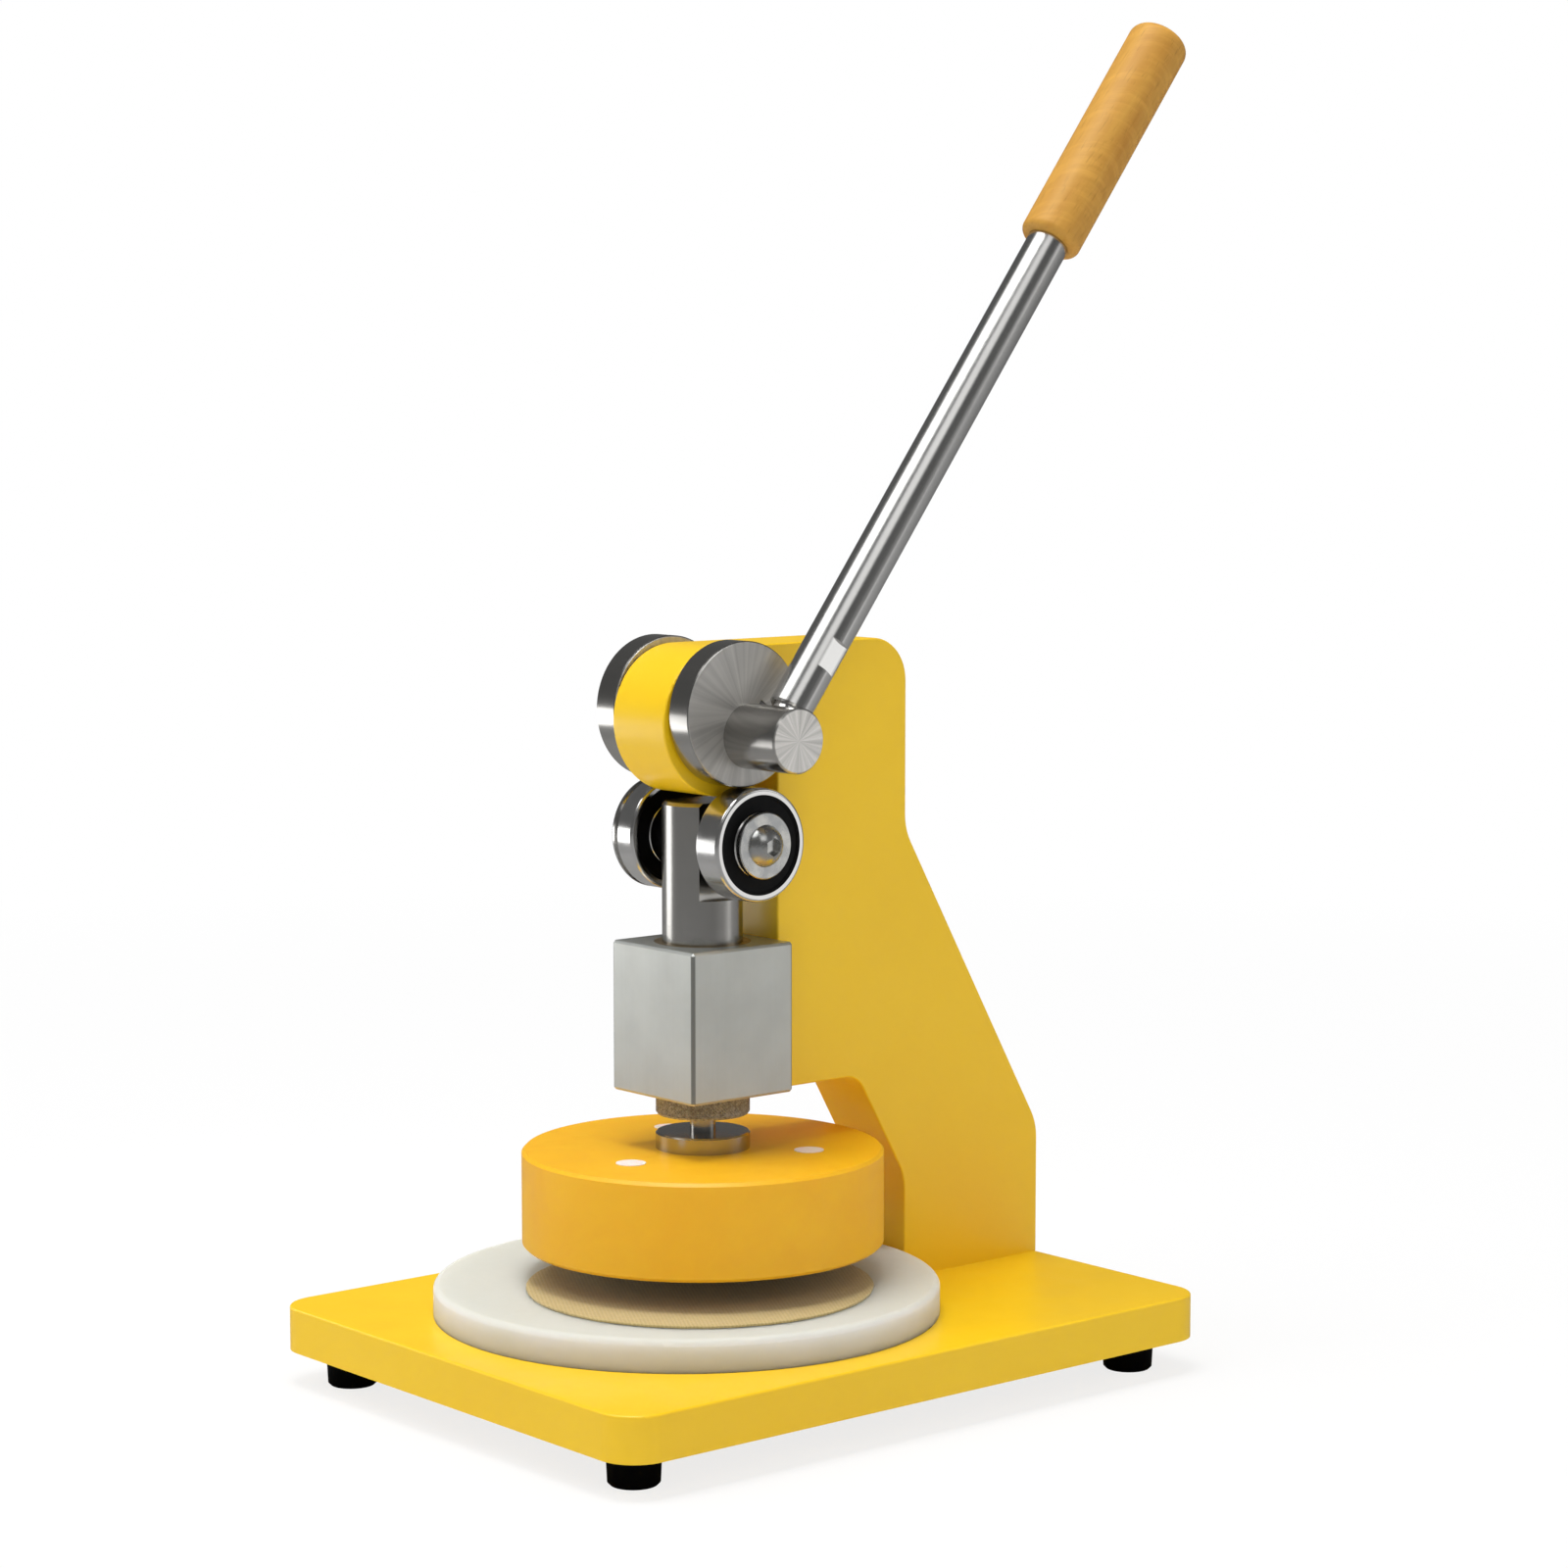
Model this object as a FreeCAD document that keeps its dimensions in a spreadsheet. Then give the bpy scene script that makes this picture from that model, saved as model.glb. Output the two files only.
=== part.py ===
import FreeCAD, Part
import math
import os

import Sketcher
from FreeCAD import Placement, Rotation, Vector

# Hand lever press. X runs across the base, Y runs from the front to the back, Z is up.
# The origin lies on the press axis, where it meets the surface that the feet stand on.

DIMENSIONS = {
    # clearances, measured on the radius
    "fixed_fit": 0.06,
    "running_fit": 0.05,
    "loose_fit": 0.25,
    # base plate
    "base_width": 180,
    "base_front": 100,
    "base_back": 132.5,
    "base_thickness": 14,
    "base_corner": 12,
    "base_edge": 0.8,
    # rubber feet
    "foot_height": 11,
    "foot_top_diameter": 16.4,
    "foot_tip_diameter": 15.4,
    "foot_side_inset": 18.5,
    "foot_end_inset": 16.5,
    "foot_edge": 0.8,
    "foot_recess": 4.5,
    "foot_screw": 4,
    "foot_screw_reach": 8,
    # column plate
    "column_thickness": 25,
    "column_back": 73.4,
    "column_upper_back": 61.6,
    "column_slope": 30,
    "column_top_round": 14,
    "column_bend_round": 18,
    "column_edge": 0.6,
    "throat_clearance": 7.012,
    "throat_height": 33.2,
    "throat_round": 8,
    "nose_diameter": 46,
    "nose_forward": 2,
    "axle_below_nose": 3.8,
    "column_screw": 6,
    "column_screw_reach": 18,
    "column_screw_inset": 12,
    # guide block with its bushes
    "block_width": 40,
    "block_depth": 40,
    "block_height": 47,
    "block_edge": 0.85,
    "upper_bush_height": 18,
    "upper_bush_wall": 2.5,
    "lower_bush_height": 10,
    "lower_bush_wall": 4,
    "chamber_clearance": 0.75,
    "block_screw": 6,
    "block_screw_web": 1.25,
    "block_screw_grip": 30,
    "block_screw_low": 8,
    "block_screw_high": 24,
    "guide_screw": 6,
    "guide_dog": 4.6,
    "guide_screw_drop": 12.5,
    "guide_screw_sink": 0.5,
    # ram
    "ram_diameter": 25,
    "ram_across_flats": 18.2,
    "ram_above_roller": 11.87,
    "ram_flat_height": 30,
    "ram_shoulder_depth": 15,
    "ram_rod_diameter": 16,
    "ram_edge": 1,
    "ram_slot_width": 5,
    "ram_slot_depth": 2.5,
    "ram_travel": 9.17,
    # return spring
    "spring_clearance": 1.2,
    "spring_wire_width": 2.6,
    "spring_wire_height": 1.6,
    "spring_turns": 6,
    "spring_seat_gap": 0.1,
    # cross shaft, cams and lever
    "journal_diameter": 18,
    "axle_bush_wall": 2.5,
    "axle_bush_flange": 0.6,
    "axle_bush_flange_width": 3.5,
    "axle_bush_middle_gap": 0.5,
    "side_play": 0.2,
    "boss_step": 1,
    "boss_reach": 11.7,
    "boss_edge": 0.6,
    "cam_diameter": 44.5,
    "cam_width": 9.3,
    "cam_offset": 6.8,
    "cam_lead": 50,
    "cam_edge": 0.5,
    "key_size": 5,
    "key_end_gap": 0.3,
    "washer_diameter": 26,
    "washer_thickness": 2,
    "end_screw": 6,
    "end_screw_reach": 14,
    "lever_tilt": 37,
    "lever_outset": 11.7,
    "lever_neck_diameter": 10,
    "lever_neck_depth": 3,
    "lever_neck_shown": 0.1,
    "rod_diameter": 13.5,
    "rod_edge": 0.6,
    "wrench_across": 11.6,
    "wrench_length": 10.3,
    "wrench_centre": 30.3,
    "grip_start": 188.5,
    "grip_length": 84,
    "grip_diameter": 19.9,
    "grip_top_round": 4,
    "grip_root_round": 2.5,
    "grip_depth": 45,
    # rollers
    "roller_diameter": 35,
    "roller_width": 10.5,
    "roller_outset": 2.8,
    "roller_setback": 2,
    "roller_above_block": 14.43,
    "roller_gap": 0.3,
    "roller_edge": 1,
    "inner_ring_diameter": 20.2,
    "inner_ring_edge": 0.7,
    "outer_ring_opening": 30.8,
    "snap_groove_width": 1.8,
    "snap_groove_depth": 0.9,
    "snap_groove_inset": 1.5,
    "needle_count": 15,
    "needle_end_gap": 0.1,
    "seal_thickness": 0.8,
    "seal_inset": 0.5,
    "seal_lip_gap": 0.1,
    "roller_screw": 8,
    "roller_screw_gap": 0.65,
    "roller_washer_diameter": 20.4,
    "roller_washer_thickness": 2.2,
    "roller_washer_edge": 0.3,
    "button_head_diameter": 13,
    "button_head_height": 4.4,
    "spacer_diameter": 20.2,
    "spacer_wall": 1,
    # adjusting nut and its clip
    "nut_diameter": 29.4,
    "nut_height": 6.6,
    "nut_gap": 0.3,
    "nut_web": 3.1,
    "nut_edge": 0.6,
    "nut_end_gap": 0.2,
    "clip_thickness": 1,
    "clip_play": 0.15,
    "clip_above_web": 0.9,
    "clip_grip": 0.7,
    "clip_stand": 1.1,
    "clip_opening": 3,
    # press head
    "stud_diameter": 8,
    "stud_engagement": 5,
    "stud_square": 5.6,
    "stud_square_length": 11,
    "stud_lift_room": 3,
    "stud_seat_depth": 7.2,
    "neck_length": 5.6,
    "flange_diameter": 29.4,
    "flange_thickness": 5.2,
    "flange_edge": 0.5,
    "spigot_diameter": 16,
    "spigot_length": 18,
    "head_diameter": 112.8,
    "head_thickness": 30,
    "head_edge": 1,
    "head_gap": 9.5,
    "plate_diameter": 96,
    "plate_thickness": 6,
    "centre_screw": 5,
    "centre_screw_reach": 10,
    "cap_clearance": 0.35,
    "cap_thickness": 2.5,
    "cap_proud": 0.2,
    "cap_circle": 66.9,
    "cap_start": -80,
    "head_screw": 5,
    "head_screw_reach": 5,
    # board and mat
    "board_diameter": 157.4,
    "board_thickness": 10,
    "board_gap": 1.2,
    "board_round": 2,
    "board_screw": 5,
    "board_screw_reach": 6,
    "board_screw_circle": 110,
    "mat_diameter": 107,
    "mat_thickness": 1,
    "mat_right": 12,
    "mat_forward": 11,
    # socket screws: head and socket sizes follow the thread
    "head_factor": 1.5,
    "head_extra": 1,
    "socket_factor": 0.8,
    "socket_depth_factor": 0.55,
    "button_socket_factor": 0.64,
    "button_depth_factor": 0.3025,
    "screw_sink": 0.5,
}

PLACES = {
    # stack on the press axis, from the floor up to the axle and the top of the column
    "base_top": "dims.foot_height + dims.base_thickness",
    "board_top": "base_top + dims.board_thickness",
    "head_bottom": "board_top + dims.mat_thickness + dims.head_gap",
    "head_top": "head_bottom + dims.head_thickness",
    "flange_top": "head_top + dims.flange_thickness",
    "nut_bottom": "flange_top + dims.neck_length",
    "nut_top": "nut_bottom + dims.nut_height",
    "arm_underside": "nut_top + dims.nut_gap",
    "block_top": "arm_underside + dims.block_height",
    "roller_z": "block_top + dims.roller_above_block + dims.roller_diameter / 2",
    "cam_angle": "90 - dims.lever_tilt + dims.cam_lead",
    "cam_reach": "(dims.cam_diameter + dims.roller_diameter) / 2 + dims.roller_gap",
    "cam_setback": "dims.roller_setback - dims.cam_offset * cos(cam_angle)",
    "cam_drop": "sqrt(cam_reach ^ 2 - cam_setback ^ 2)",
    "axle_z": "roller_z + cam_drop - dims.cam_offset * sin(cam_angle)",
    "nose_height": "axle_z + dims.axle_below_nose",
    "column_top": "nose_height + dims.nose_diameter / 2",
    # base and column
    "foot_side": "dims.base_width / 2 - dims.foot_side_inset",
    "foot_front": "-dims.base_front + dims.foot_end_inset",
    "foot_rear": "dims.base_back - dims.foot_end_inset",
    "upper_bend": "column_top - dims.column_upper_back",
    "lower_bend": "upper_bend - (dims.base_back - dims.column_back) / tan(dims.column_slope)",
    "throat_bend": "base_top + dims.throat_height",
    "head_throat": "dims.head_diameter / 2 + dims.throat_clearance",
    "throat_back": "head_throat + (head_top - throat_bend) * tan(dims.column_slope)",
    "throat_front": "throat_back - (arm_underside - throat_bend) * tan(dims.column_slope)",
    "column_half": "dims.column_thickness / 2",
    "column_screw_front": "throat_back + dims.column_screw_inset",
    "column_screw_rear": "dims.base_back - dims.column_screw_inset",
    "column_screw_middle": "(column_screw_front + column_screw_rear) / 2",
    "board_y": "throat_back - dims.board_gap - dims.board_diameter / 2",
    # guide block, ram and spring
    "block_back": "dims.block_depth / 2",
    "upper_bush_outer": "dims.ram_diameter + 2 * dims.upper_bush_wall",
    "lower_bush_outer": "dims.ram_rod_diameter + 2 * dims.lower_bush_wall",
    "chamber_diameter": "dims.ram_diameter + 2 * dims.chamber_clearance",
    "block_screw_reach": "block_back - chamber_diameter / 2 - dims.block_screw_web",
    "block_screw_seat": "block_back + dims.block_screw_grip",
    "block_screw_low": "arm_underside + dims.block_screw_low",
    "block_screw_high": "arm_underside + dims.block_screw_high",
    "guide_screw_height": "block_top - dims.guide_screw_drop",
    "spring_foot": "arm_underside + dims.lower_bush_height",
    "spring_diameter": "dims.ram_rod_diameter + 2 * dims.spring_clearance + dims.spring_wire_width",
    "ram_shoulder": "block_top - dims.ram_shoulder_depth",
    "ram_top": "roller_z + dims.ram_above_roller",
    "ram_ledge": "ram_top - dims.ram_flat_height",
    # cross shaft, cams and lever
    "bush_flange_face": "column_half + dims.axle_bush_flange",
    "bush_outer": "dims.journal_diameter + 2 * dims.axle_bush_wall",
    "cam_inner": "bush_flange_face + dims.side_play",
    "cam_outer": "cam_inner + dims.cam_width",
    "boss_diameter": "dims.journal_diameter + 2 * dims.boss_step",
    "lever_side": "cam_outer + dims.lever_outset",
    "boss_end": "lever_side + dims.boss_reach",
    "lever_start": "boss_diameter / 2 + dims.lever_neck_shown",
    "rod_end": "dims.grip_start + dims.grip_depth",
    "grip_end": "dims.grip_start + dims.grip_length",
    # rollers
    "roller_side": "(cam_inner + cam_outer) / 2 + dims.roller_outset",
    "roller_face": "roller_side + dims.roller_width / 2",
    "roller_back": "roller_side - dims.roller_width / 2",
    "roller_bore": "dims.roller_screw + 2 * dims.spacer_wall",
    "roller_seat": "roller_face + dims.roller_washer_thickness",
    "roller_screw_length": "roller_seat - dims.roller_screw_gap",
    "pitch_radius": "(dims.inner_ring_diameter + dims.outer_ring_opening) / 4",
    # adjusting nut, clip and stud
    "nut_web_top": "nut_bottom + dims.nut_web",
    "clip_low": "nut_web_top + dims.clip_above_web",
    "clip_high": "clip_low + dims.clip_thickness + 2 * dims.clip_play",
    "clip_inner": "dims.ram_rod_diameter - 2 * dims.clip_grip",
    "clip_outer": "dims.ram_rod_diameter + 2 * dims.clip_stand",
    "ram_bottom": "nut_web_top + dims.nut_end_gap",
    "stud_round_top": "ram_bottom + dims.stud_engagement",
    "stud_bore_top": "stud_round_top + dims.stud_lift_room",
    "stud_bottom": "flange_top - dims.stud_seat_depth",
    # press head
    "spigot_bottom": "head_top - dims.spigot_length",
    "plate_top": "head_bottom + dims.plate_thickness",
    "cap_diameter": "dims.head_factor * dims.head_screw + dims.head_extra + 2 * dims.cap_clearance",
    "cap_bottom": "head_top + dims.cap_proud - dims.cap_thickness",
    "head_screw_seat": "cap_bottom - dims.cap_proud - dims.head_screw",
}

ORIGIN_POINT = (-1, 1)
HORIZONTAL_AXIS = -1
VERTICAL_AXIS = -2
START_POINT = 1
END_POINT = 2
CENTRE_POINT = 3
SAME_PLACE = 0.01
OVERSHOOT = "1"
HEXAGON_CORNERS = range(0, 361, 60)
THREE_TURNS = (0, 120, 240)

doc = FreeCAD.newDocument("lever_press")
dims = doc.addObject("Spreadsheet::Sheet", "dims")
for row, (alias, size) in enumerate(DIMENSIONS.items(), start=1):
    dims.set("A%d" % row, alias)
    dims.set("B%d" % row, str(size))
    dims.setAlias("B%d" % row, alias)
doc.recompute()
places = doc.addObject("Spreadsheet::Sheet", "places")
for row, (alias, formula) in enumerate(PLACES.items(), start=1):
    places.set("A%d" % row, alias)
    places.set("B%d" % row, "=" + formula)
    places.setAlias("B%d" % row, alias)
doc.recompute()

nodes = []


def value(expression):
    return float(dims.evalExpression(expression))


def new_body(label):
    body = doc.addObject("PartDesign::Body", label)
    body.Label = label
    nodes.append(body)
    return body


def new_sketch(body, role, offset=None):
    sketch = body.newObject("Sketcher::SketchObject", body.Name + "_sketch")
    plane = next(item for item in body.Origin.OriginFeatures if item.Role == role)
    sketch.AttachmentSupport = [(plane, "")]
    sketch.MapMode = "FlatFace"
    if offset:
        sketch.setExpression("AttachmentOffset.Base.z", offset)
    return sketch


def pin_point(sketch, geometry, point, x, y):
    for kind, axis, expression in (
        ("DistanceX", VERTICAL_AXIS, x),
        ("DistanceY", HORIZONTAL_AXIS, y),
    ):
        if expression == "0":
            sketch.addConstraint(Sketcher.Constraint("PointOnObject", geometry, point, axis))
            continue
        index = sketch.addConstraint(
            Sketcher.Constraint(kind, *ORIGIN_POINT, geometry, point, value(expression))
        )
        sketch.setExpression("Constraints[%d]" % index, expression)


def add_outline(sketch, corners):
    points = [Vector(value(x), value(y), 0) for x, y in corners]
    first = sketch.GeometryCount
    count = len(points)
    for start, end in zip(points, points[1:] + points[:1]):
        sketch.addGeometry(Part.LineSegment(start, end), False)
    for i in range(count):
        following = first + (i + 1) % count
        sketch.addConstraint(Sketcher.Constraint("Coincident", first + i, END_POINT, following, START_POINT))
    for i, (x, y) in enumerate(corners):
        pin_point(sketch, first + i, START_POINT, x, y)


def add_rectangle(sketch, left, right, low, high):
    add_outline(sketch, [(left, low), (right, low), (right, high), (left, high)])


def add_circle(sketch, x, y, diameter):
    centre = Vector(value(x), value(y), 0)
    ring = Part.Circle(centre, Vector(0, 0, 1), value(diameter) / 2)
    geometry = sketch.addGeometry(ring, False)
    pin_point(sketch, geometry, CENTRE_POINT, x, y)
    index = sketch.addConstraint(Sketcher.Constraint("Diameter", geometry, value(diameter)))
    sketch.setExpression("Constraints[%d]" % index, diameter)


def add_pad(body, sketch, length, symmetric=False):
    pad = body.newObject("PartDesign::Pad", body.Name + "_pad")
    pad.Profile = sketch
    pad.setExpression("Length", length)
    if symmetric:
        pad.SideType = "Symmetric"
    sketch.Visibility = False
    doc.recompute()
    return pad


def add_pocket(body, sketch, length=None, with_normal=False, symmetric=False):
    pocket = body.newObject("PartDesign::Pocket", body.Name + "_pocket")
    pocket.Profile = sketch
    if length:
        pocket.setExpression("Length", length)
    else:
        pocket.Type = "ThroughAll"
    pocket.Reversed = with_normal
    if symmetric:
        pocket.SideType = "Symmetric"
    doc.recompute()
    return pocket


def add_turning(body, corners, axis="V_Axis", kind="Revolution"):
    sketch = new_sketch(body, "XZ_Plane")
    add_outline(sketch, corners)
    turning = body.newObject("PartDesign::" + kind, body.Name + "_turning")
    turning.Profile = sketch
    turning.ReferenceAxis = (sketch, [axis])
    turning.Angle = 360
    doc.recompute()
    return turning


def edge_names(feature, wanted):
    edges = feature.Shape.Edges
    return ["Edge%d" % (i + 1) for i, edge in enumerate(edges) if wanted(edge)]


def round_edges(body, radius, wanted, kind="Fillet"):
    sharp = body.Tip
    names = edge_names(sharp, wanted)
    feature = body.newObject("PartDesign::" + kind, body.Name + "_edges")
    feature.Base = (sharp, names)
    feature.setExpression("Radius" if kind == "Fillet" else "Size", radius)
    doc.recompute()
    body.Tip = feature
    return feature


def edge_at(across, *targets):
    """Edge that keeps the two named coordinates along its whole length."""
    spots = [tuple(value(item) for item in target) for target in targets]

    def wanted(edge):
        for spot in spots:
            ends = [vertex.Point for vertex in edge.Vertexes]
            offsets = [abs(end[axis] - place) for end in ends for axis, place in zip(across, spot)]
            if len(ends) == 2 and max(offsets) < SAME_PLACE:
                return True
        return False

    return wanted


def circle_edge(diameter, height=None):
    radius = value(diameter) / 2
    level = None if height is None else value(height)

    def wanted(edge):
        curve = edge.Curve
        if not isinstance(curve, Part.Circle) or abs(curve.Radius - radius) > SAME_PLACE:
            return False
        return level is None or abs(curve.Center.z - level) < SAME_PLACE

    return wanted


def move_to(item, x="0", y="0", z="0"):
    for axis, expression in zip("xyz", (x, y, z)):
        if expression != "0":
            item.setExpression("Placement.Base." + axis, expression)


def tilt_with_lever(item):
    """Pieces on the cross shaft are drawn with the lever upright and leaned back together."""
    item.Placement = Placement(Vector(), Rotation(Vector(-1, 0, 0), value("dims.lever_tilt")))
    item.setExpression("Placement.Rotation.Angle", "dims.lever_tilt")
    move_to(item, z="places.axle_z")


def add_feature(label, shape):
    feature = doc.addObject("Part::Feature", label)
    feature.Label = label
    feature.Shape = shape
    nodes.append(feature)
    return feature


def add_group(label, shapes):
    return add_feature(label, Part.makeCompound(shapes))


def head_diameter(thread):
    return "(dims.head_factor * %s + dims.head_extra)" % thread


def head_hole(thread):
    return head_diameter(thread) + " + 2 * dims.loose_fit"


def thread_hole(thread):
    return "%s + 2 * dims.fixed_fit" % thread


def hexagon(across, start, depth):
    radius = across / math.sqrt(3)
    corners = [
        Vector(radius * math.cos(math.radians(angle)), radius * math.sin(math.radians(angle)), start)
        for angle in HEXAGON_CORNERS
    ]
    return Part.Face(Part.makePolygon(corners)).extrude(Vector(0, 0, depth))


def socket_screw(thread, length):
    """Socket head below the seat at the origin, shank upward."""
    size = value(thread)
    head = Part.makeCylinder(value(head_diameter(thread)) / 2, size, Vector(0, 0, -size))
    shank = Part.makeCylinder(size / 2, length)
    depth = size * dims.socket_depth_factor
    socket = hexagon(size * dims.socket_factor, -size, depth)
    return head.fuse(shank).removeSplitter().cut(socket)


def button_screw(thread, length):
    """Domed head below the seat at the origin, shank upward."""
    size = value(thread)
    rise = dims.button_head_height
    reach = dims.button_head_diameter / 2
    dome_radius = (reach * reach + rise * rise) / (2 * rise)
    dome = Part.makeSphere(dome_radius, Vector(0, 0, dome_radius - rise))
    head = dome.common(Part.makeCylinder(2 * reach, rise, Vector(0, 0, -rise)))
    shank = Part.makeCylinder(size / 2, length)
    depth = size * dims.button_depth_factor
    socket = hexagon(size * dims.button_socket_factor, -rise, depth)
    return head.fuse(shank).removeSplitter().cut(socket)


def aimed(shape, position, direction):
    """Copy of a shape drawn along +Z, moved to a position and turned to a direction."""
    copy = shape.copy()
    copy.Placement = Placement(Vector(*position), Rotation(Vector(0, 0, 1), Vector(*direction)))
    return copy


def tube(inner, outer, start, end):
    """Ring about the X axis."""
    along = Vector(1, 0, 0)
    solid = Part.makeCylinder(outer, end - start, Vector(start, 0, 0), along)
    return solid.cut(Part.makeCylinder(inner, end - start, Vector(start, 0, 0), along))


def ring_of_three(circle, start):
    return [
        ("%s / 2 * cos(%s + %d)" % (circle, start, turn), "%s / 2 * sin(%s + %d)" % (circle, start, turn))
        for turn in THREE_TURNS
    ]


def mirrored(expression, side):
    return expression if side > 0 else "-(%s)" % expression


FOOT_PLACES = {
    "foot_front_right": ("places.foot_side", "places.foot_front"),
    "foot_front_left": ("-places.foot_side", "places.foot_front"),
    "foot_rear_right": ("places.foot_side", "places.foot_rear"),
    "foot_rear_left": ("-places.foot_side", "places.foot_rear"),
}
COLUMN_SCREW_PLACES = [
    ("0", "places.column_screw_front"),
    ("0", "places.column_screw_middle"),
    ("0", "places.column_screw_rear"),
]
BOARD_SCREW_PLACES = [
    (x, "%s + places.board_y" % y) for x, y in ring_of_three("dims.board_screw_circle", "90")
]
HEAD_SCREW_PLACES = ring_of_three("dims.cap_circle", "dims.cap_start")
BLOCK_SCREW_HEIGHTS = ["places.block_screw_low", "places.block_screw_high"]
SIDES = {"right": 1, "left": -1}
SNAP_RING_SIDE = "left"


def drill(body, role, offset, spots, diameter, length=None, with_normal=False):
    sketch = new_sketch(body, role, offset)
    for x, y in spots:
        add_circle(sketch, x, y, diameter)
    return add_pocket(body, sketch, length, with_normal)


def counterbored_from_below(body, spots, thread):
    drill(body, "XY_Plane", "dims.foot_height", spots, thread_hole(thread), with_normal=True)
    depth = "%s + dims.screw_sink" % thread
    drill(body, "XY_Plane", "dims.foot_height", spots, head_hole(thread), depth, with_normal=True)


def make_base():
    body = new_body("base_plate")
    sketch = new_sketch(body, "XY_Plane", "dims.foot_height")
    half = "dims.base_width / 2"
    add_rectangle(sketch, "-" + half, half, "-dims.base_front", "dims.base_back")
    add_pad(body, sketch, "dims.base_thickness")
    corners = [(x, y) for x in ("-" + half, half) for y in ("-dims.base_front", "dims.base_back")]
    round_edges(body, "dims.base_corner", edge_at((0, 1), *corners))
    round_edges(body, "dims.base_edge", edge_at((2,), ("places.base_top",)))
    feet = list(FOOT_PLACES.values())
    reach = "dims.foot_screw_reach"
    drill(body, "XY_Plane", "dims.foot_height", feet, thread_hole("dims.foot_screw"), reach, True)
    counterbored_from_below(body, COLUMN_SCREW_PLACES, "dims.column_screw")
    counterbored_from_below(body, BOARD_SCREW_PLACES, "dims.board_screw")


def make_feet():
    hole = "(%s) / 2" % thread_hole("dims.foot_screw")
    recess = "(%s) / 2" % head_hole("dims.foot_screw")
    tip = "dims.foot_tip_diameter / 2"
    for label, (x, y) in FOOT_PLACES.items():
        body = new_body(label)
        add_turning(body, [
            (recess, "0"),
            (tip + " - dims.foot_edge", "0"),
            (tip, "dims.foot_edge"),
            ("dims.foot_top_diameter / 2", "dims.foot_height"),
            (hole, "dims.foot_height"),
            (hole, "dims.foot_recess"),
            (recess, "dims.foot_recess"),
        ])
        move_to(body, x, y)


def make_screws_from_below():
    up = (0, 0, 1)
    length = dims.foot_height - dims.foot_recess + dims.foot_screw_reach - dims.screw_sink
    screw = socket_screw("dims.foot_screw", length)
    add_group("foot_screws", [
        aimed(screw, (value(x), value(y), dims.foot_recess), up) for x, y in FOOT_PLACES.values()
    ])
    board_reach = dims.board_screw_reach - dims.screw_sink
    for label, thread, reach, spots in (
        ("column_screws", "dims.column_screw", dims.column_screw_reach, COLUMN_SCREW_PLACES),
        ("board_screws", "dims.board_screw", board_reach, BOARD_SCREW_PLACES),
    ):
        seat = dims.foot_height + value(thread) + dims.screw_sink
        screw = socket_screw(thread, places.base_top - seat + reach)
        add_group(label, [aimed(screw, (value(x), value(y), seat), up) for x, y in spots])


def make_column():
    body = new_body("column_plate")
    sketch = new_sketch(body, "YZ_Plane")
    corners = {
        "arm_front": ("places.block_back", "places.arm_underside"),
        "nose_root": ("places.block_back", "places.nose_height"),
        "nose_centre": ("-dims.nose_forward", "places.nose_height"),
        "top_front": ("-dims.nose_forward", "places.column_top"),
        "top_back": ("dims.column_back", "places.column_top"),
        "upper_bend": ("dims.column_back", "places.upper_bend"),
        "lower_bend": ("dims.base_back", "places.lower_bend"),
        "heel": ("dims.base_back", "places.base_top"),
        "toe": ("places.throat_back", "places.base_top"),
        "throat_bend": ("places.throat_back", "places.throat_bend"),
        "throat_front": ("places.throat_front", "places.arm_underside"),
    }
    add_outline(sketch, list(corners.values()))
    add_pad(body, sketch, "dims.column_thickness", symmetric=True)
    nose = new_sketch(body, "YZ_Plane")
    add_circle(nose, *corners["nose_centre"], "dims.nose_diameter")
    add_pad(body, nose, "dims.column_thickness", symmetric=True)
    round_edges(body, "dims.column_top_round", edge_at((1, 2), corners["top_back"]))
    bends = [corners[name] for name in ("upper_bend", "lower_bend", "throat_bend")]
    round_edges(body, "dims.column_bend_round", edge_at((1, 2), *bends))
    round_edges(body, "dims.throat_round", edge_at((1, 2), corners["throat_front"]))
    faces = edge_at((0,), ("places.column_half",), ("-places.column_half",))
    floor = value("places.base_top")

    def side_outline(edge):
        middle = edge.valueAt((edge.FirstParameter + edge.LastParameter) / 2)
        return faces(edge) and abs(middle.z - floor) > SAME_PLACE

    round_edges(body, "dims.column_edge", side_outline)
    bore = new_sketch(body, "YZ_Plane")
    add_circle(bore, "0", "places.axle_z", "places.bush_outer + 2 * dims.fixed_fit")
    add_pocket(body, bore, "2 * dims.column_thickness", symmetric=True)
    depth = "dims.column_screw_reach + dims.screw_sink"
    hole = thread_hole("dims.column_screw")
    drill(body, "XY_Plane", "places.base_top", COLUMN_SCREW_PLACES, hole, depth, True)
    spots = [("0", height) for height in BLOCK_SCREW_HEIGHTS]
    drill(body, "XZ_Plane", "-places.block_back", spots, thread_hole("dims.block_screw"))
    drill(body, "XZ_Plane", "-places.block_screw_seat", spots, head_hole("dims.block_screw"))


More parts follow.
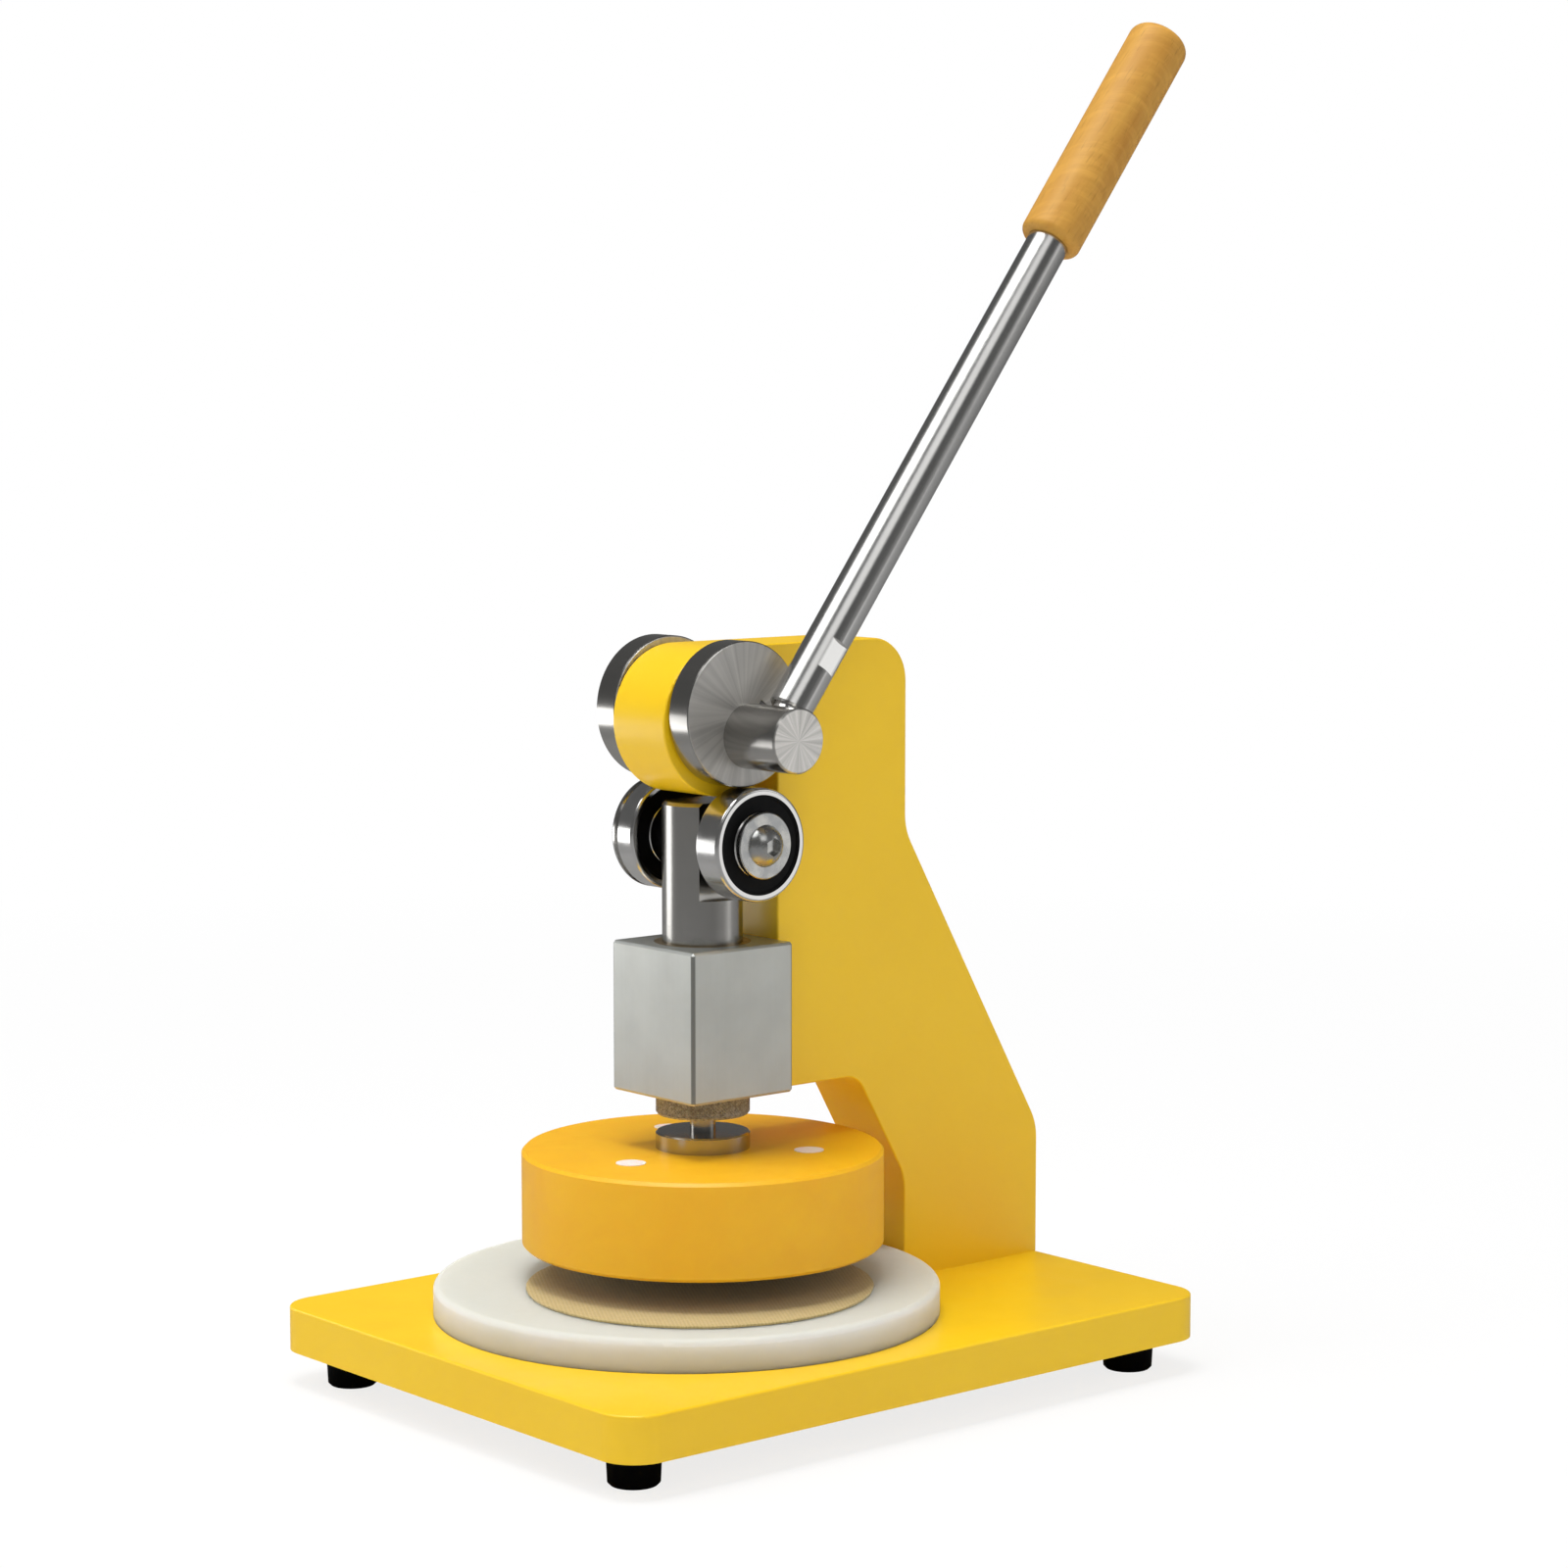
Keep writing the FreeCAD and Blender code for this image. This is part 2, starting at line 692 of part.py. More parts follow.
def make_guide_block():
    body = new_body("guide_block")
    sketch = new_sketch(body, "XY_Plane", "places.arm_underside")
    across = "dims.block_width / 2"
    add_rectangle(sketch, "-" + across, across, "-places.block_back", "places.block_back")
    add_pad(body, sketch, "dims.block_height")
    round_edges(body, "dims.block_edge", lambda edge: True, "Chamfer")
    centre = [("0", "0")]
    upper = "places.upper_bush_outer + 2 * dims.fixed_fit"
    lower = "places.lower_bush_outer + 2 * dims.fixed_fit"
    chamber_depth = "dims.block_height - dims.lower_bush_height"
    drill(body, "XY_Plane", "places.block_top", centre, lower)
    drill(body, "XY_Plane", "places.block_top", centre, "places.chamber_diameter", chamber_depth)
    drill(body, "XY_Plane", "places.block_top", centre, upper, "dims.upper_bush_height")
    dog_hole = [("0", "places.guide_screw_height")]
    drill(body, "YZ_Plane", None, dog_hole, thread_hole("dims.guide_screw"))
    spots = [("0", height) for height in BLOCK_SCREW_HEIGHTS]
    reach = "places.block_screw_reach + dims.screw_sink"
    drill(body, "XZ_Plane", "-places.block_back", spots, thread_hole("dims.block_screw"), reach, True)

    screw = socket_screw("dims.block_screw", dims.block_screw_grip + places.block_screw_reach)
    add_group("guide_block_screws", [
        aimed(screw, (0, places.block_screw_seat, value(height)), (0, -1, 0))
        for height in BLOCK_SCREW_HEIGHTS
    ])


def make_guide_bushes():
    upper = new_body("guide_bush_upper")
    bore = "dims.ram_diameter / 2 + dims.running_fit"
    low = "places.block_top - dims.upper_bush_height"
    outer = "places.upper_bush_outer / 2"
    add_turning(upper, [
        (bore, low), (outer, low), (outer, "places.block_top"), (bore, "places.block_top"),
    ])
    dog_hole = [("0", "places.guide_screw_height")]
    drill(upper, "YZ_Plane", None, dog_hole, thread_hole("dims.guide_screw"))

    lower = new_body("guide_bush_lower")
    bore = "dims.ram_rod_diameter / 2 + dims.running_fit"
    outer = "places.lower_bush_outer / 2"
    low = "places.arm_underside"
    add_turning(lower, [
        (bore, low), (outer, low), (outer, "places.spring_foot"), (bore, "places.spring_foot"),
    ])


def make_guide_screw():
    body = new_body("guide_dog_screw")
    outer = "-dims.block_width / 2 + dims.guide_screw_sink"
    shoulder = "-dims.ram_diameter / 2 - 2 * dims.loose_fit"
    tip = "-dims.ram_diameter / 2 + dims.ram_slot_depth - 2 * dims.loose_fit"
    add_turning(body, [
        (outer, "0"),
        (outer, "dims.guide_screw / 2"),
        (shoulder, "dims.guide_screw / 2"),
        (shoulder, "dims.guide_dog / 2"),
        (tip, "dims.guide_dog / 2"),
        (tip, "0"),
    ], "H_Axis")
    move_to(body, z="places.guide_screw_height")


def make_ram():
    body = new_body("ram")
    rod = "dims.ram_rod_diameter / 2"
    wide = "dims.ram_diameter / 2"
    groove = "places.clip_inner / 2 - dims.clip_play"
    add_turning(body, [
        ("0", "places.ram_bottom"),
        (rod, "places.ram_bottom"),
        (rod, "places.clip_low"),
        (groove, "places.clip_low"),
        (groove, "places.clip_high"),
        (rod, "places.clip_high"),
        (rod, "places.ram_shoulder"),
        (wide, "places.ram_shoulder"),
        (wide, "places.ram_top - dims.ram_edge"),
        (wide + " - dims.ram_edge", "places.ram_top"),
        ("0", "places.ram_top"),
    ])
    flats = new_sketch(body, "XZ_Plane")
    near = "dims.ram_across_flats / 2"
    far = wide + " + " + OVERSHOOT
    above = "places.ram_top + " + OVERSHOOT
    add_rectangle(flats, near, far, "places.ram_ledge", above)
    add_rectangle(flats, "-(%s)" % far, "-" + near, "places.ram_ledge", above)
    add_pocket(body, flats, "2 * dims.ram_diameter", symmetric=True)
    cross_hole = new_sketch(body, "YZ_Plane")
    add_circle(cross_hole, "dims.roller_setback", "places.roller_z", thread_hole("dims.roller_screw"))
    add_pocket(body, cross_hole, "2 * dims.ram_diameter", symmetric=True)
    slot = new_sketch(body, "YZ_Plane", "-dims.ram_diameter / 2")
    half = "dims.ram_slot_width / 2"
    slot_top = "places.guide_screw_height + dims.ram_travel + dims.ram_slot_width / 2"
    add_rectangle(slot, "-" + half, half, "places.ram_shoulder", slot_top)
    add_pocket(body, slot, "dims.ram_slot_depth", with_normal=True)
    bore = "dims.stud_diameter + 2 * dims.running_fit"
    depth = "places.stud_bore_top - places.ram_bottom"
    drill(body, "XY_Plane", "places.ram_bottom", [("0", "0")], bore, depth, True)
    square = new_sketch(body, "XY_Plane", "places.stud_bore_top")
    half = "(dims.stud_square / 2 + dims.running_fit)"
    add_rectangle(square, "-" + half, half, "-" + half, half)
    add_pocket(body, square, "dims.stud_square_length", with_normal=True)


def biarc(start, leave, end, arrive):
    """Two tangent arcs that leave one point along a direction and arrive at another."""
    chord = end - start
    both = chord.dot(leave + arrive)
    bend = 2 * (1 - leave.dot(arrive))
    reach = (math.sqrt(both * both + bend * chord.dot(chord)) - both) / bend
    first = start + leave * reach
    second = end - arrive * reach
    joint = (first + second) * 0.5
    edges = []
    for near, corner, far in ((start, first, joint), (joint, second, end)):
        middle = (near + far) * 0.5
        rise = (corner - middle).Length
        half_chord = (far - near).Length / 2
        sagitta = half_chord * math.tan(math.atan2(rise, half_chord) / 2)
        crown = middle + (corner - middle) * (sagitta / rise)
        edges.append(Part.Arc(near, crown, far).toShape())
    return edges


def make_return_spring():
    """Die spring of flat wire."""
    radius = places.spring_diameter / 2
    height = dims.spring_wire_height
    margin = height / 2 + dims.spring_seat_gap
    low = places.spring_foot + margin
    pitch = (places.ram_shoulder - margin - low) / dims.spring_turns
    print("return spring gap between turns: %.2f" % (pitch - height))

    def station(quarter):
        angle = quarter * math.pi / 2
        point = Vector(radius * math.cos(angle), radius * math.sin(angle), low + pitch * quarter / 4)
        slope = pitch / (2 * math.pi)
        along = Vector(-radius * math.sin(angle), radius * math.cos(angle), slope)
        return point, along.normalize()

    edges = []
    for half_turn in range(0, int(dims.spring_turns) * 4, 2):
        edges += biarc(*station(half_turn), *station(half_turn + 2))
    start, along = station(0)
    outward = Vector(1, 0, 0) * (dims.spring_wire_width / 2)
    upward = outward.cross(along).normalize() * (height / 2)
    corners = [start + outward + upward, start - outward + upward]
    corners += [start - outward - upward, start + outward - upward]
    section = Part.makePolygon(corners + corners[:1])
    coil = Part.BRepOffsetAPI.MakePipeShell(Part.Wire(edges))
    coil.setBiNormalMode(Vector(0, 0, 1))
    coil.add(section)
    coil.build()
    coil.makeSolid()
    add_feature("return_spring", coil.shape())


def make_board_and_mat():
    board = new_body("press_board")
    sketch = new_sketch(board, "XY_Plane", "places.base_top")
    add_circle(sketch, "0", "places.board_y", "dims.board_diameter")
    add_pad(board, sketch, "dims.board_thickness")
    round_edges(board, "dims.board_round", circle_edge("dims.board_diameter", "places.board_top"))
    hole = thread_hole("dims.board_screw")
    drill(board, "XY_Plane", "places.base_top", BOARD_SCREW_PLACES, hole, "dims.board_screw_reach", True)

    mat = doc.addObject("Part::Cylinder", "press_mat")
    mat.setExpression("Radius", "dims.mat_diameter / 2")
    mat.setExpression("Height", "dims.mat_thickness")
    move_to(mat, "dims.mat_right", "-dims.mat_forward", "places.board_top")
    nodes.append(mat)


def make_axle_bushes():
    bore = "dims.journal_diameter / 2 + dims.running_fit"
    outer = "places.bush_outer / 2"
    rim = outer + " + dims.axle_bush_flange_width"
    for side, sign in SIDES.items():
        body = new_body("axle_bush_" + side)
        inner_end = mirrored("dims.axle_bush_middle_gap", sign)
        plate_face = mirrored("places.column_half", sign)
        flange_face = mirrored("places.bush_flange_face", sign)
        add_turning(body, [
            (inner_end, bore),
            (inner_end, outer),
            (plate_face, outer),
            (plate_face, rim),
            (flange_face, rim),
            (flange_face, bore),
        ], "H_Axis")
        move_to(body, z="places.axle_z")


def make_cam_shaft():
    body = new_body("cam_shaft")
    journal = "dims.journal_diameter / 2"
    boss = "places.boss_diameter / 2"
    far_end = "-places.cam_outer + dims.side_play"
    add_turning(body, [
        (far_end, "0"),
        (far_end, journal + " - dims.boss_edge"),
        (far_end + " + dims.boss_edge", journal),
        ("places.cam_outer", journal),
        ("places.cam_outer", boss),
        ("places.boss_end - dims.boss_edge", boss),
        ("places.boss_end", boss + " - dims.boss_edge"),
        ("places.boss_end", "0"),
    ], "H_Axis")
    slots = new_sketch(body, "XY_Plane", "dims.journal_diameter / 2 - dims.key_size / 2")
    half = "dims.key_size / 2"
    near = "places.cam_inner + dims.key_end_gap"
    far = "places.cam_outer - dims.key_end_gap"
    add_rectangle(slots, near, far, "-" + half, half)
    add_rectangle(slots, "-(%s)" % far, "-(%s)" % near, "-" + half, half)
    add_pocket(body, slots, "dims.key_size", with_normal=True)
    neck = "dims.lever_neck_diameter + 2 * dims.fixed_fit"
    seat = "-dims.lever_neck_depth - " + OVERSHOOT
    drill(body, "XY_Plane", seat, [("places.lever_side", "0")], neck, with_normal=True)
    depth = "dims.end_screw_reach + " + OVERSHOOT
    drill(body, "YZ_Plane", far_end, [("0", "0")], thread_hole("dims.end_screw"), depth, True)
    tilt_with_lever(body)

    length = places.cam_outer - places.cam_inner - 2 * dims.key_end_gap
    size = dims.key_size
    bottom = (dims.journal_diameter - size) / 2
    start = places.cam_inner + dims.key_end_gap
    keys = add_group("cam_keys", [
        Part.makeBox(length, size, size, Vector(x, -size / 2, bottom)) for x in (start, -start - length)
    ])
    tilt_with_lever(keys)


def make_cam_discs():
    centre = ("-dims.cam_offset * sin(dims.cam_lead)", "dims.cam_offset * cos(dims.cam_lead)")
    half = "(dims.key_size / 2 + dims.fixed_fit)"
    keyway_top = "dims.journal_diameter / 2 + dims.key_size / 2 + dims.fixed_fit"
    for side, sign in SIDES.items():
        body = new_body("cam_disc_" + side)
        low = "places.cam_inner" if sign > 0 else "-places.cam_outer"
        high = "places.cam_outer" if sign > 0 else "-places.cam_inner"
        sketch = new_sketch(body, "YZ_Plane", low)
        add_circle(sketch, *centre, "dims.cam_diameter")
        add_circle(sketch, "0", "0", "dims.journal_diameter + 2 * dims.fixed_fit")
        add_pad(body, sketch, "dims.cam_width")
        round_edges(body, "dims.cam_edge", circle_edge("dims.cam_diameter"), "Chamfer")
        keyway = new_sketch(body, "YZ_Plane", high)
        add_rectangle(keyway, "-" + half, half, "0", keyway_top)
        add_pocket(body, keyway)
        tilt_with_lever(body)


def make_shaft_end():
    washer = new_body("shaft_end_washer")
    hole = "(%s) / 2" % thread_hole("dims.end_screw")
    outer = "dims.washer_diameter / 2"
    near = "-places.cam_outer"
    far = "-places.cam_outer - dims.washer_thickness"
    add_turning(washer, [(near, hole), (near, outer), (far, outer), (far, hole)], "H_Axis")
    move_to(washer, z="places.axle_z")
    length = dims.washer_thickness + dims.end_screw_reach
    screw = button_screw("dims.end_screw", length)
    seat = (-places.cam_outer - dims.washer_thickness, 0, places.axle_z)
    add_feature("shaft_end_screw", aimed(screw, seat, (1, 0, 0)))


def make_lever():
    rod = new_body("lever_rod")
    neck = "dims.lever_neck_diameter / 2"
    outer = "dims.rod_diameter / 2"
    add_turning(rod, [
        ("0", "-dims.lever_neck_depth"),
        (neck, "-dims.lever_neck_depth"),
        (neck, "places.lever_start"),
        (outer + " - dims.rod_edge", "places.lever_start"),
        (outer, "places.lever_start + dims.rod_edge"),
        (outer, "places.rod_end"),
        ("0", "places.rod_end"),
    ])
    flats = new_sketch(rod, "XZ_Plane")
    near = "dims.wrench_across / 2"
    far = outer + " + " + OVERSHOOT
    low = "dims.wrench_centre - dims.wrench_length / 2"
    high = "dims.wrench_centre + dims.wrench_length / 2"
    add_rectangle(flats, near, far, low, high)
    add_rectangle(flats, "-(%s)" % far, "-" + near, low, high)
    add_pocket(rod, flats, "2 * dims.rod_diameter", symmetric=True)

    grip = new_body("handle_grip")
    bore = outer + " + dims.fixed_fit"
    wide = "dims.grip_diameter / 2"
    bottom = "places.rod_end + " + OVERSHOOT
    add_turning(grip, [
        (bore, "dims.grip_start"),
        (wide, "dims.grip_start"),
        (wide, "places.grip_end"),
        ("0", "places.grip_end"),
        ("0", bottom),
        (bore, bottom),
    ])
    round_edges(grip, "dims.grip_top_round", circle_edge("dims.grip_diameter", "places.grip_end"))
    round_edges(grip, "dims.grip_root_round", circle_edge("dims.grip_diameter", "dims.grip_start"))
    for item in (rod, grip):
        tilt_with_lever(item)
        move_to(item, x="places.lever_side")


def cut_snap_groove(ring):
    """Groove for a snap ring round an outer ring, near the end that faces away from the ram."""
    low = "-dims.roller_width / 2 + dims.snap_groove_inset"
    high = low + " + dims.snap_groove_width"
    top = "dims.roller_diameter / 2 + " + OVERSHOOT
    bottom = "dims.roller_diameter / 2 - dims.snap_groove_depth"
    add_turning(ring, [(low, bottom), (high, bottom), (high, top), (low, top)], "H_Axis", "Groove")


def make_roller(side, sign):
    half = "dims.roller_width / 2"
    position = (mirrored("places.roller_side", sign), "dims.roller_setback", "places.roller_z")
    bore = "places.roller_bore / 2 + dims.fixed_fit"
    lip = "dims.inner_ring_diameter / 2"
    inner = new_body("roller_inner_ring_" + side)
    add_turning(inner, [("-" + half, bore), (half, bore), (half, lip), ("-" + half, lip)], "H_Axis")
    round_edges(inner, "dims.inner_ring_edge", circle_edge("dims.inner_ring_diameter"), "Chamfer")

    opening = "dims.outer_ring_opening / 2"
    rim = "dims.roller_diameter / 2"
    outer = new_body("roller_outer_ring_" + side)
    add_turning(outer, [("-" + half, opening), (half, opening), (half, rim), ("-" + half, rim)], "H_Axis")
    round_edges(outer, "dims.roller_edge", circle_edge("dims.roller_diameter"))
    if side == SNAP_RING_SIDE:
        cut_snap_groove(outer)
    for body in (inner, outer):
        move_to(body, *position)

    middle = Placement(Vector(*(value(item) for item in position)), Rotation())
    near = dims.roller_width / 2 - dims.seal_inset - dims.seal_thickness
    far = dims.roller_width / 2 - dims.seal_inset
    lip_radius = dims.inner_ring_diameter / 2 + dims.seal_lip_gap
    seal_radius = dims.outer_ring_opening / 2 - dims.fixed_fit
    seals = [tube(lip_radius, seal_radius, *span) for span in ((near, far), (-far, -near))]
    race_gap = (dims.outer_ring_opening - dims.inner_ring_diameter) / 2
    needle_radius = race_gap / 2 - dims.running_fit
    needle_end = near - dims.needle_end_gap
    needles = []
    for i in range(int(dims.needle_count)):
        turn = 2 * math.pi * i / dims.needle_count
        y = places.pitch_radius * math.cos(turn)
        z = places.pitch_radius * math.sin(turn)
        start = Vector(-needle_end, y, z)
        needles.append(Part.makeCylinder(needle_radius, 2 * needle_end, start, Vector(1, 0, 0)))
    for label, shapes in (("roller_seals_" + side, seals), ("roller_needles_" + side, needles)):
        add_group(label, shapes).Placement = middle

    spacer = new_body("roller_spacer_" + side)
    hole = "(%s) / 2" % thread_hole("dims.roller_screw")
    collar = "dims.spacer_diameter / 2"
    spigot = "places.roller_bore / 2"
    flat = mirrored("dims.ram_across_flats / 2", sign)
    back = mirrored("places.roller_back", sign)
    front = mirrored("places.roller_face - dims.side_play", sign)
    add_turning(spacer, [
        (flat, hole), (flat, collar), (back, collar), (back, spigot), (front, spigot), (front, hole),
    ], "H_Axis")
    move_to(spacer, y="dims.roller_setback", z="places.roller_z")

    washer = new_body("roller_washer_" + side)
    hole = "dims.roller_screw / 2 + dims.running_fit"
    outside = "dims.roller_washer_diameter / 2"
    face = mirrored("places.roller_face", sign)
    seat = mirrored("places.roller_seat", sign)
    add_turning(washer, [(face, hole), (face, outside), (seat, outside), (seat, hole)], "H_Axis")
    round_edges(washer, "dims.roller_washer_edge", circle_edge("dims.roller_washer_diameter"), "Chamfer")
    move_to(washer, y="dims.roller_setback", z="places.roller_z")


def make_roller_screws():
    screw = button_screw("dims.roller_screw", places.roller_screw_length)
    add_group("roller_screws", [
        aimed(screw, (sign * places.roller_seat, dims.roller_setback, places.roller_z), (-sign, 0, 0))
        for sign in SIDES.values()
    ])


def make_adjusting_nut():
    nut = new_body("adjusting_nut")
    outer = "dims.nut_diameter / 2"
    edge = "dims.nut_edge"
    hole = "dims.stud_diameter / 2 + dims.running_fit"
    socket = "dims.ram_rod_diameter / 2 + dims.running_fit"
    groove = "places.clip_outer / 2 + dims.clip_play"
    add_turning(nut, [
        (hole, "places.nut_bottom"),
        (outer + " - " + edge, "places.nut_bottom"),
        (outer, "places.nut_bottom + " + edge),
        (outer, "places.nut_top - " + edge),
        (outer + " - " + edge, "places.nut_top"),
        (socket, "places.nut_top"),
        (socket, "places.clip_high"),
        (groove, "places.clip_high"),
        (groove, "places.clip_low"),
        (socket, "places.clip_low"),
        (socket, "places.nut_web_top"),
        (hole, "places.nut_web_top"),
    ])

    clip = new_body("nut_clip")
    sketch = new_sketch(clip, "XY_Plane", "places.clip_low + dims.clip_play")
    add_circle(sketch, "0", "0", "places.clip_outer")
    add_circle(sketch, "0", "0", "places.clip_inner")
    add_pad(clip, sketch, "dims.clip_thickness")
    opening = new_sketch(clip, "XY_Plane", "places.clip_high")
    half = "dims.clip_opening / 2"
    add_rectangle(opening, "-" + half, half, "0", "places.clip_outer")
    add_pocket(clip, opening)


def make_head_flange():
    body = new_body("head_flange")
    spigot = "dims.spigot_diameter / 2"
    flange = "dims.flange_diameter / 2"
    add_turning(body, [
        ("0", "places.spigot_bottom"),
        (spigot, "places.spigot_bottom"),
        (spigot, "places.head_top"),
        (flange, "places.head_top"),
        (flange, "places.flange_top - dims.flange_edge"),
        (flange + " - dims.flange_edge", "places.flange_top"),
        ("0", "places.flange_top"),
    ])
    centre = [("0", "0")]
    seat = thread_hole("dims.stud_diameter")
    drill(body, "XY_Plane", "places.flange_top", centre, seat, "dims.stud_seat_depth")
    depth = "dims.centre_screw_reach + " + OVERSHOOT
    hole = thread_hole("dims.centre_screw")
    drill(body, "XY_Plane", "places.spigot_bottom", centre, hole, depth, True)


def make_head_stud():
    """Threaded stud whose square end slides in the ram, so that the head does not turn with the nut."""
    body = new_body("head_stud")
    sketch = new_sketch(body, "XY_Plane", "places.stud_bottom")
    add_circle(sketch, "0", "0", "dims.stud_diameter")
    add_pad(body, sketch, "places.stud_round_top - places.stud_bottom")
    square = new_sketch(body, "XY_Plane", "places.stud_round_top")
    half = "dims.stud_square / 2"
    add_rectangle(square, "-" + half, half, "-" + half, half)
    add_pad(body, square, "dims.stud_square_length")


def make_press_head():
    head = new_body("press_head")
    hole = "(%s) / 2" % thread_hole("dims.centre_screw")
    socket = "dims.spigot_diameter / 2 + dims.fixed_fit"
    recess = "dims.plate_diameter / 2 + dims.fixed_fit"
    outer = "dims.head_diameter / 2"
    add_turning(head, [
        (hole, "places.plate_top"),
        (recess, "places.plate_top"),
        (recess, "places.head_bottom"),
        (outer, "places.head_bottom"),
        (outer, "places.head_top"),
        (socket, "places.head_top"),
        (socket, "places.spigot_bottom"),
        (hole, "places.spigot_bottom"),
    ])
    round_edges(head, "dims.head_edge", circle_edge("dims.head_diameter"), "Chamfer")
    drill(head, "XY_Plane", "places.head_top", HEAD_SCREW_PLACES, thread_hole("dims.head_screw"))
    cap_hole = "places.cap_diameter + 2 * dims.fixed_fit"
    cap_depth = "places.head_top - places.head_screw_seat"
    drill(head, "XY_Plane", "places.head_top", HEAD_SCREW_PLACES, cap_hole, cap_depth)

    plate = new_body("press_plate")
    sketch = new_sketch(plate, "XY_Plane", "places.head_bottom")
    add_circle(sketch, "0", "0", "dims.plate_diameter")
    add_circle(sketch, "0", "0", head_hole("dims.centre_screw"))
    for x, y in HEAD_SCREW_PLACES:
        add_circle(sketch, x, y, thread_hole("dims.head_screw"))
    add_pad(plate, sketch, "dims.plate_thickness")

    caps = doc.addObject("Part::Compound", "head_screw_caps")
    links = []
    for x, y in HEAD_SCREW_PLACES:
        cap = doc.addObject("Part::Cylinder", "screw_cap")
        cap.setExpression("Radius", "places.cap_diameter / 2")
        cap.setExpression("Height", "dims.cap_thickness")
        move_to(cap, x, y, "places.cap_bottom")
        links.append(cap)
    caps.Links = links
    nodes.append(caps)

    down = (0, 0, -1)
    length = places.head_screw_seat - places.plate_top + dims.head_screw_reach
    screw = socket_screw("dims.head_screw", length)
    add_group("head_screws", [
        aimed(screw, (value(x), value(y), places.head_screw_seat), down) for x, y in HEAD_SCREW_PLACES
    ])
    web = places.spigot_bottom - places.plate_top
    screw = socket_screw("dims.centre_screw", web + dims.centre_screw_reach)
    add_feature("head_centre_screw", aimed(screw, (0, 0, places.plate_top), (0, 0, 1)))


def check_and_write():
    doc.recompute()
    for item in doc.Objects:
        if "Invalid" in item.State or "Error" in item.State:
            raise RuntimeError("object not built: " + item.Label)
    os.makedirs("parts", exist_ok=True)
    for item in nodes:
        shape = item.Shape
        if shape.isNull() or not shape.isValid() or not shape.Solids:
            raise RuntimeError("shape not valid: " + item.Label)
        shape.exportStep("parts/%s.step" % item.Label)
        print("%-26s %2d solid(s) %12.2f" % (item.Label, len(shape.Solids), shape.Volume))


make_base()
make_feet()
make_screws_from_below()
make_column()
make_guide_block()
make_guide_bushes()
make_guide_screw()
make_ram()
make_return_spring()
make_board_and_mat()
make_axle_bushes()
make_cam_shaft()
make_cam_discs()
make_shaft_end()
make_lever()
for side_name, side_sign in SIDES.items():
    make_roller(side_name, side_sign)
make_roller_screws()
make_adjusting_nut()
make_head_flange()
make_head_stud()
make_press_head()
check_and_write()
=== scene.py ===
"""Looks of a hand-lever badge press: finishes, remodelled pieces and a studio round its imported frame."""

import math

import bmesh
import bpy
from bpy.props import FloatProperty, FloatVectorProperty, IntProperty, PointerProperty
from mathutils import Euler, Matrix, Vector


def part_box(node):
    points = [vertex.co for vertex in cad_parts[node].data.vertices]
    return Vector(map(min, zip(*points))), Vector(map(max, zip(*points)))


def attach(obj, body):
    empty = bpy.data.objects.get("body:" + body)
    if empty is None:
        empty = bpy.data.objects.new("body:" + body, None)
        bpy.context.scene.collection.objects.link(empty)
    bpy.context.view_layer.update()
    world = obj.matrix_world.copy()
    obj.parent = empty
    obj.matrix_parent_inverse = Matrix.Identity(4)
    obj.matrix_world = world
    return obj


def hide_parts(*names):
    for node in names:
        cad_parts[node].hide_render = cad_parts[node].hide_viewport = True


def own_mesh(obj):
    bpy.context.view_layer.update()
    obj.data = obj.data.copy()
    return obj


bl_info = {
    "name": "Lever Badge Press",
    "version": (1, 0, 0),
    "blender": (4, 5, 0),
    "location": "View3D > Sidebar > Badge Press",
    "description": "Finishes, remodelled pieces and studio of a hand-lever badge press",
    "category": "Object",
}

SENSOR_WIDTH = 36
SAME_PLACE = 1e-5
NEARLY_LEVEL = 0.1
FINE_DEPTH = 0.0001
NEAR_EDGE = 0.0001
TWILL_REPEAT = 4
TWILL_OVER = 2
WHITE = (1, 1, 1)
DIM_FLOOR = (0.3, 0.3, 0.3)
# Heights on the studio walls, from a little below level to straight up, each with its grey.
WALL_GREYS = ((0, 0.32), (0.2, 0.2), (0.28, 0.12), (0.75, 0.11), (1, 0.12))

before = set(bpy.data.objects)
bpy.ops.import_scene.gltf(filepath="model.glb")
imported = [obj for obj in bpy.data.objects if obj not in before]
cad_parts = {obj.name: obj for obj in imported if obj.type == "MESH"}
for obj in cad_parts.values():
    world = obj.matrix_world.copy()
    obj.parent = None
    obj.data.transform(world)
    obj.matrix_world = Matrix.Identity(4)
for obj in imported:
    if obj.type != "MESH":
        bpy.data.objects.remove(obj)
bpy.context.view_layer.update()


def node_size(name):
    low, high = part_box(name)
    return high - low


def node_centre(name):
    low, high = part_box(name)
    return (low + high) / 2


def node_foot(name):
    """Middle of the underside of a node."""
    low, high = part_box(name)
    return Vector(((low.x + high.x) / 2, (low.y + high.y) / 2, low.z))


def screen_colour(red, green, blue):
    """Linear colour of one that a screen shows with these 8-bit levels."""
    levels = [level / 255 for level in (red, green, blue)]
    return [v / 12.92 if v <= 0.04045 else ((v + 0.055) / 1.055) ** 2.4 for v in levels]


def tint(colour, *factors):
    """The colour with its three levels multiplied, by one factor or by three."""
    return [min(1, level * factor) for level, factor in zip(colour, factors * 3)]


def colour_setting(name, description, *levels):
    return FloatVectorProperty(
        name=name, description=description, subtype="COLOR", size=3, min=0, max=1,
        default=screen_colour(*levels),
    )


def place_setting(name, description, *place):
    return FloatVectorProperty(
        name=name, description=description, subtype="TRANSLATION", unit="LENGTH", size=3, default=place
    )


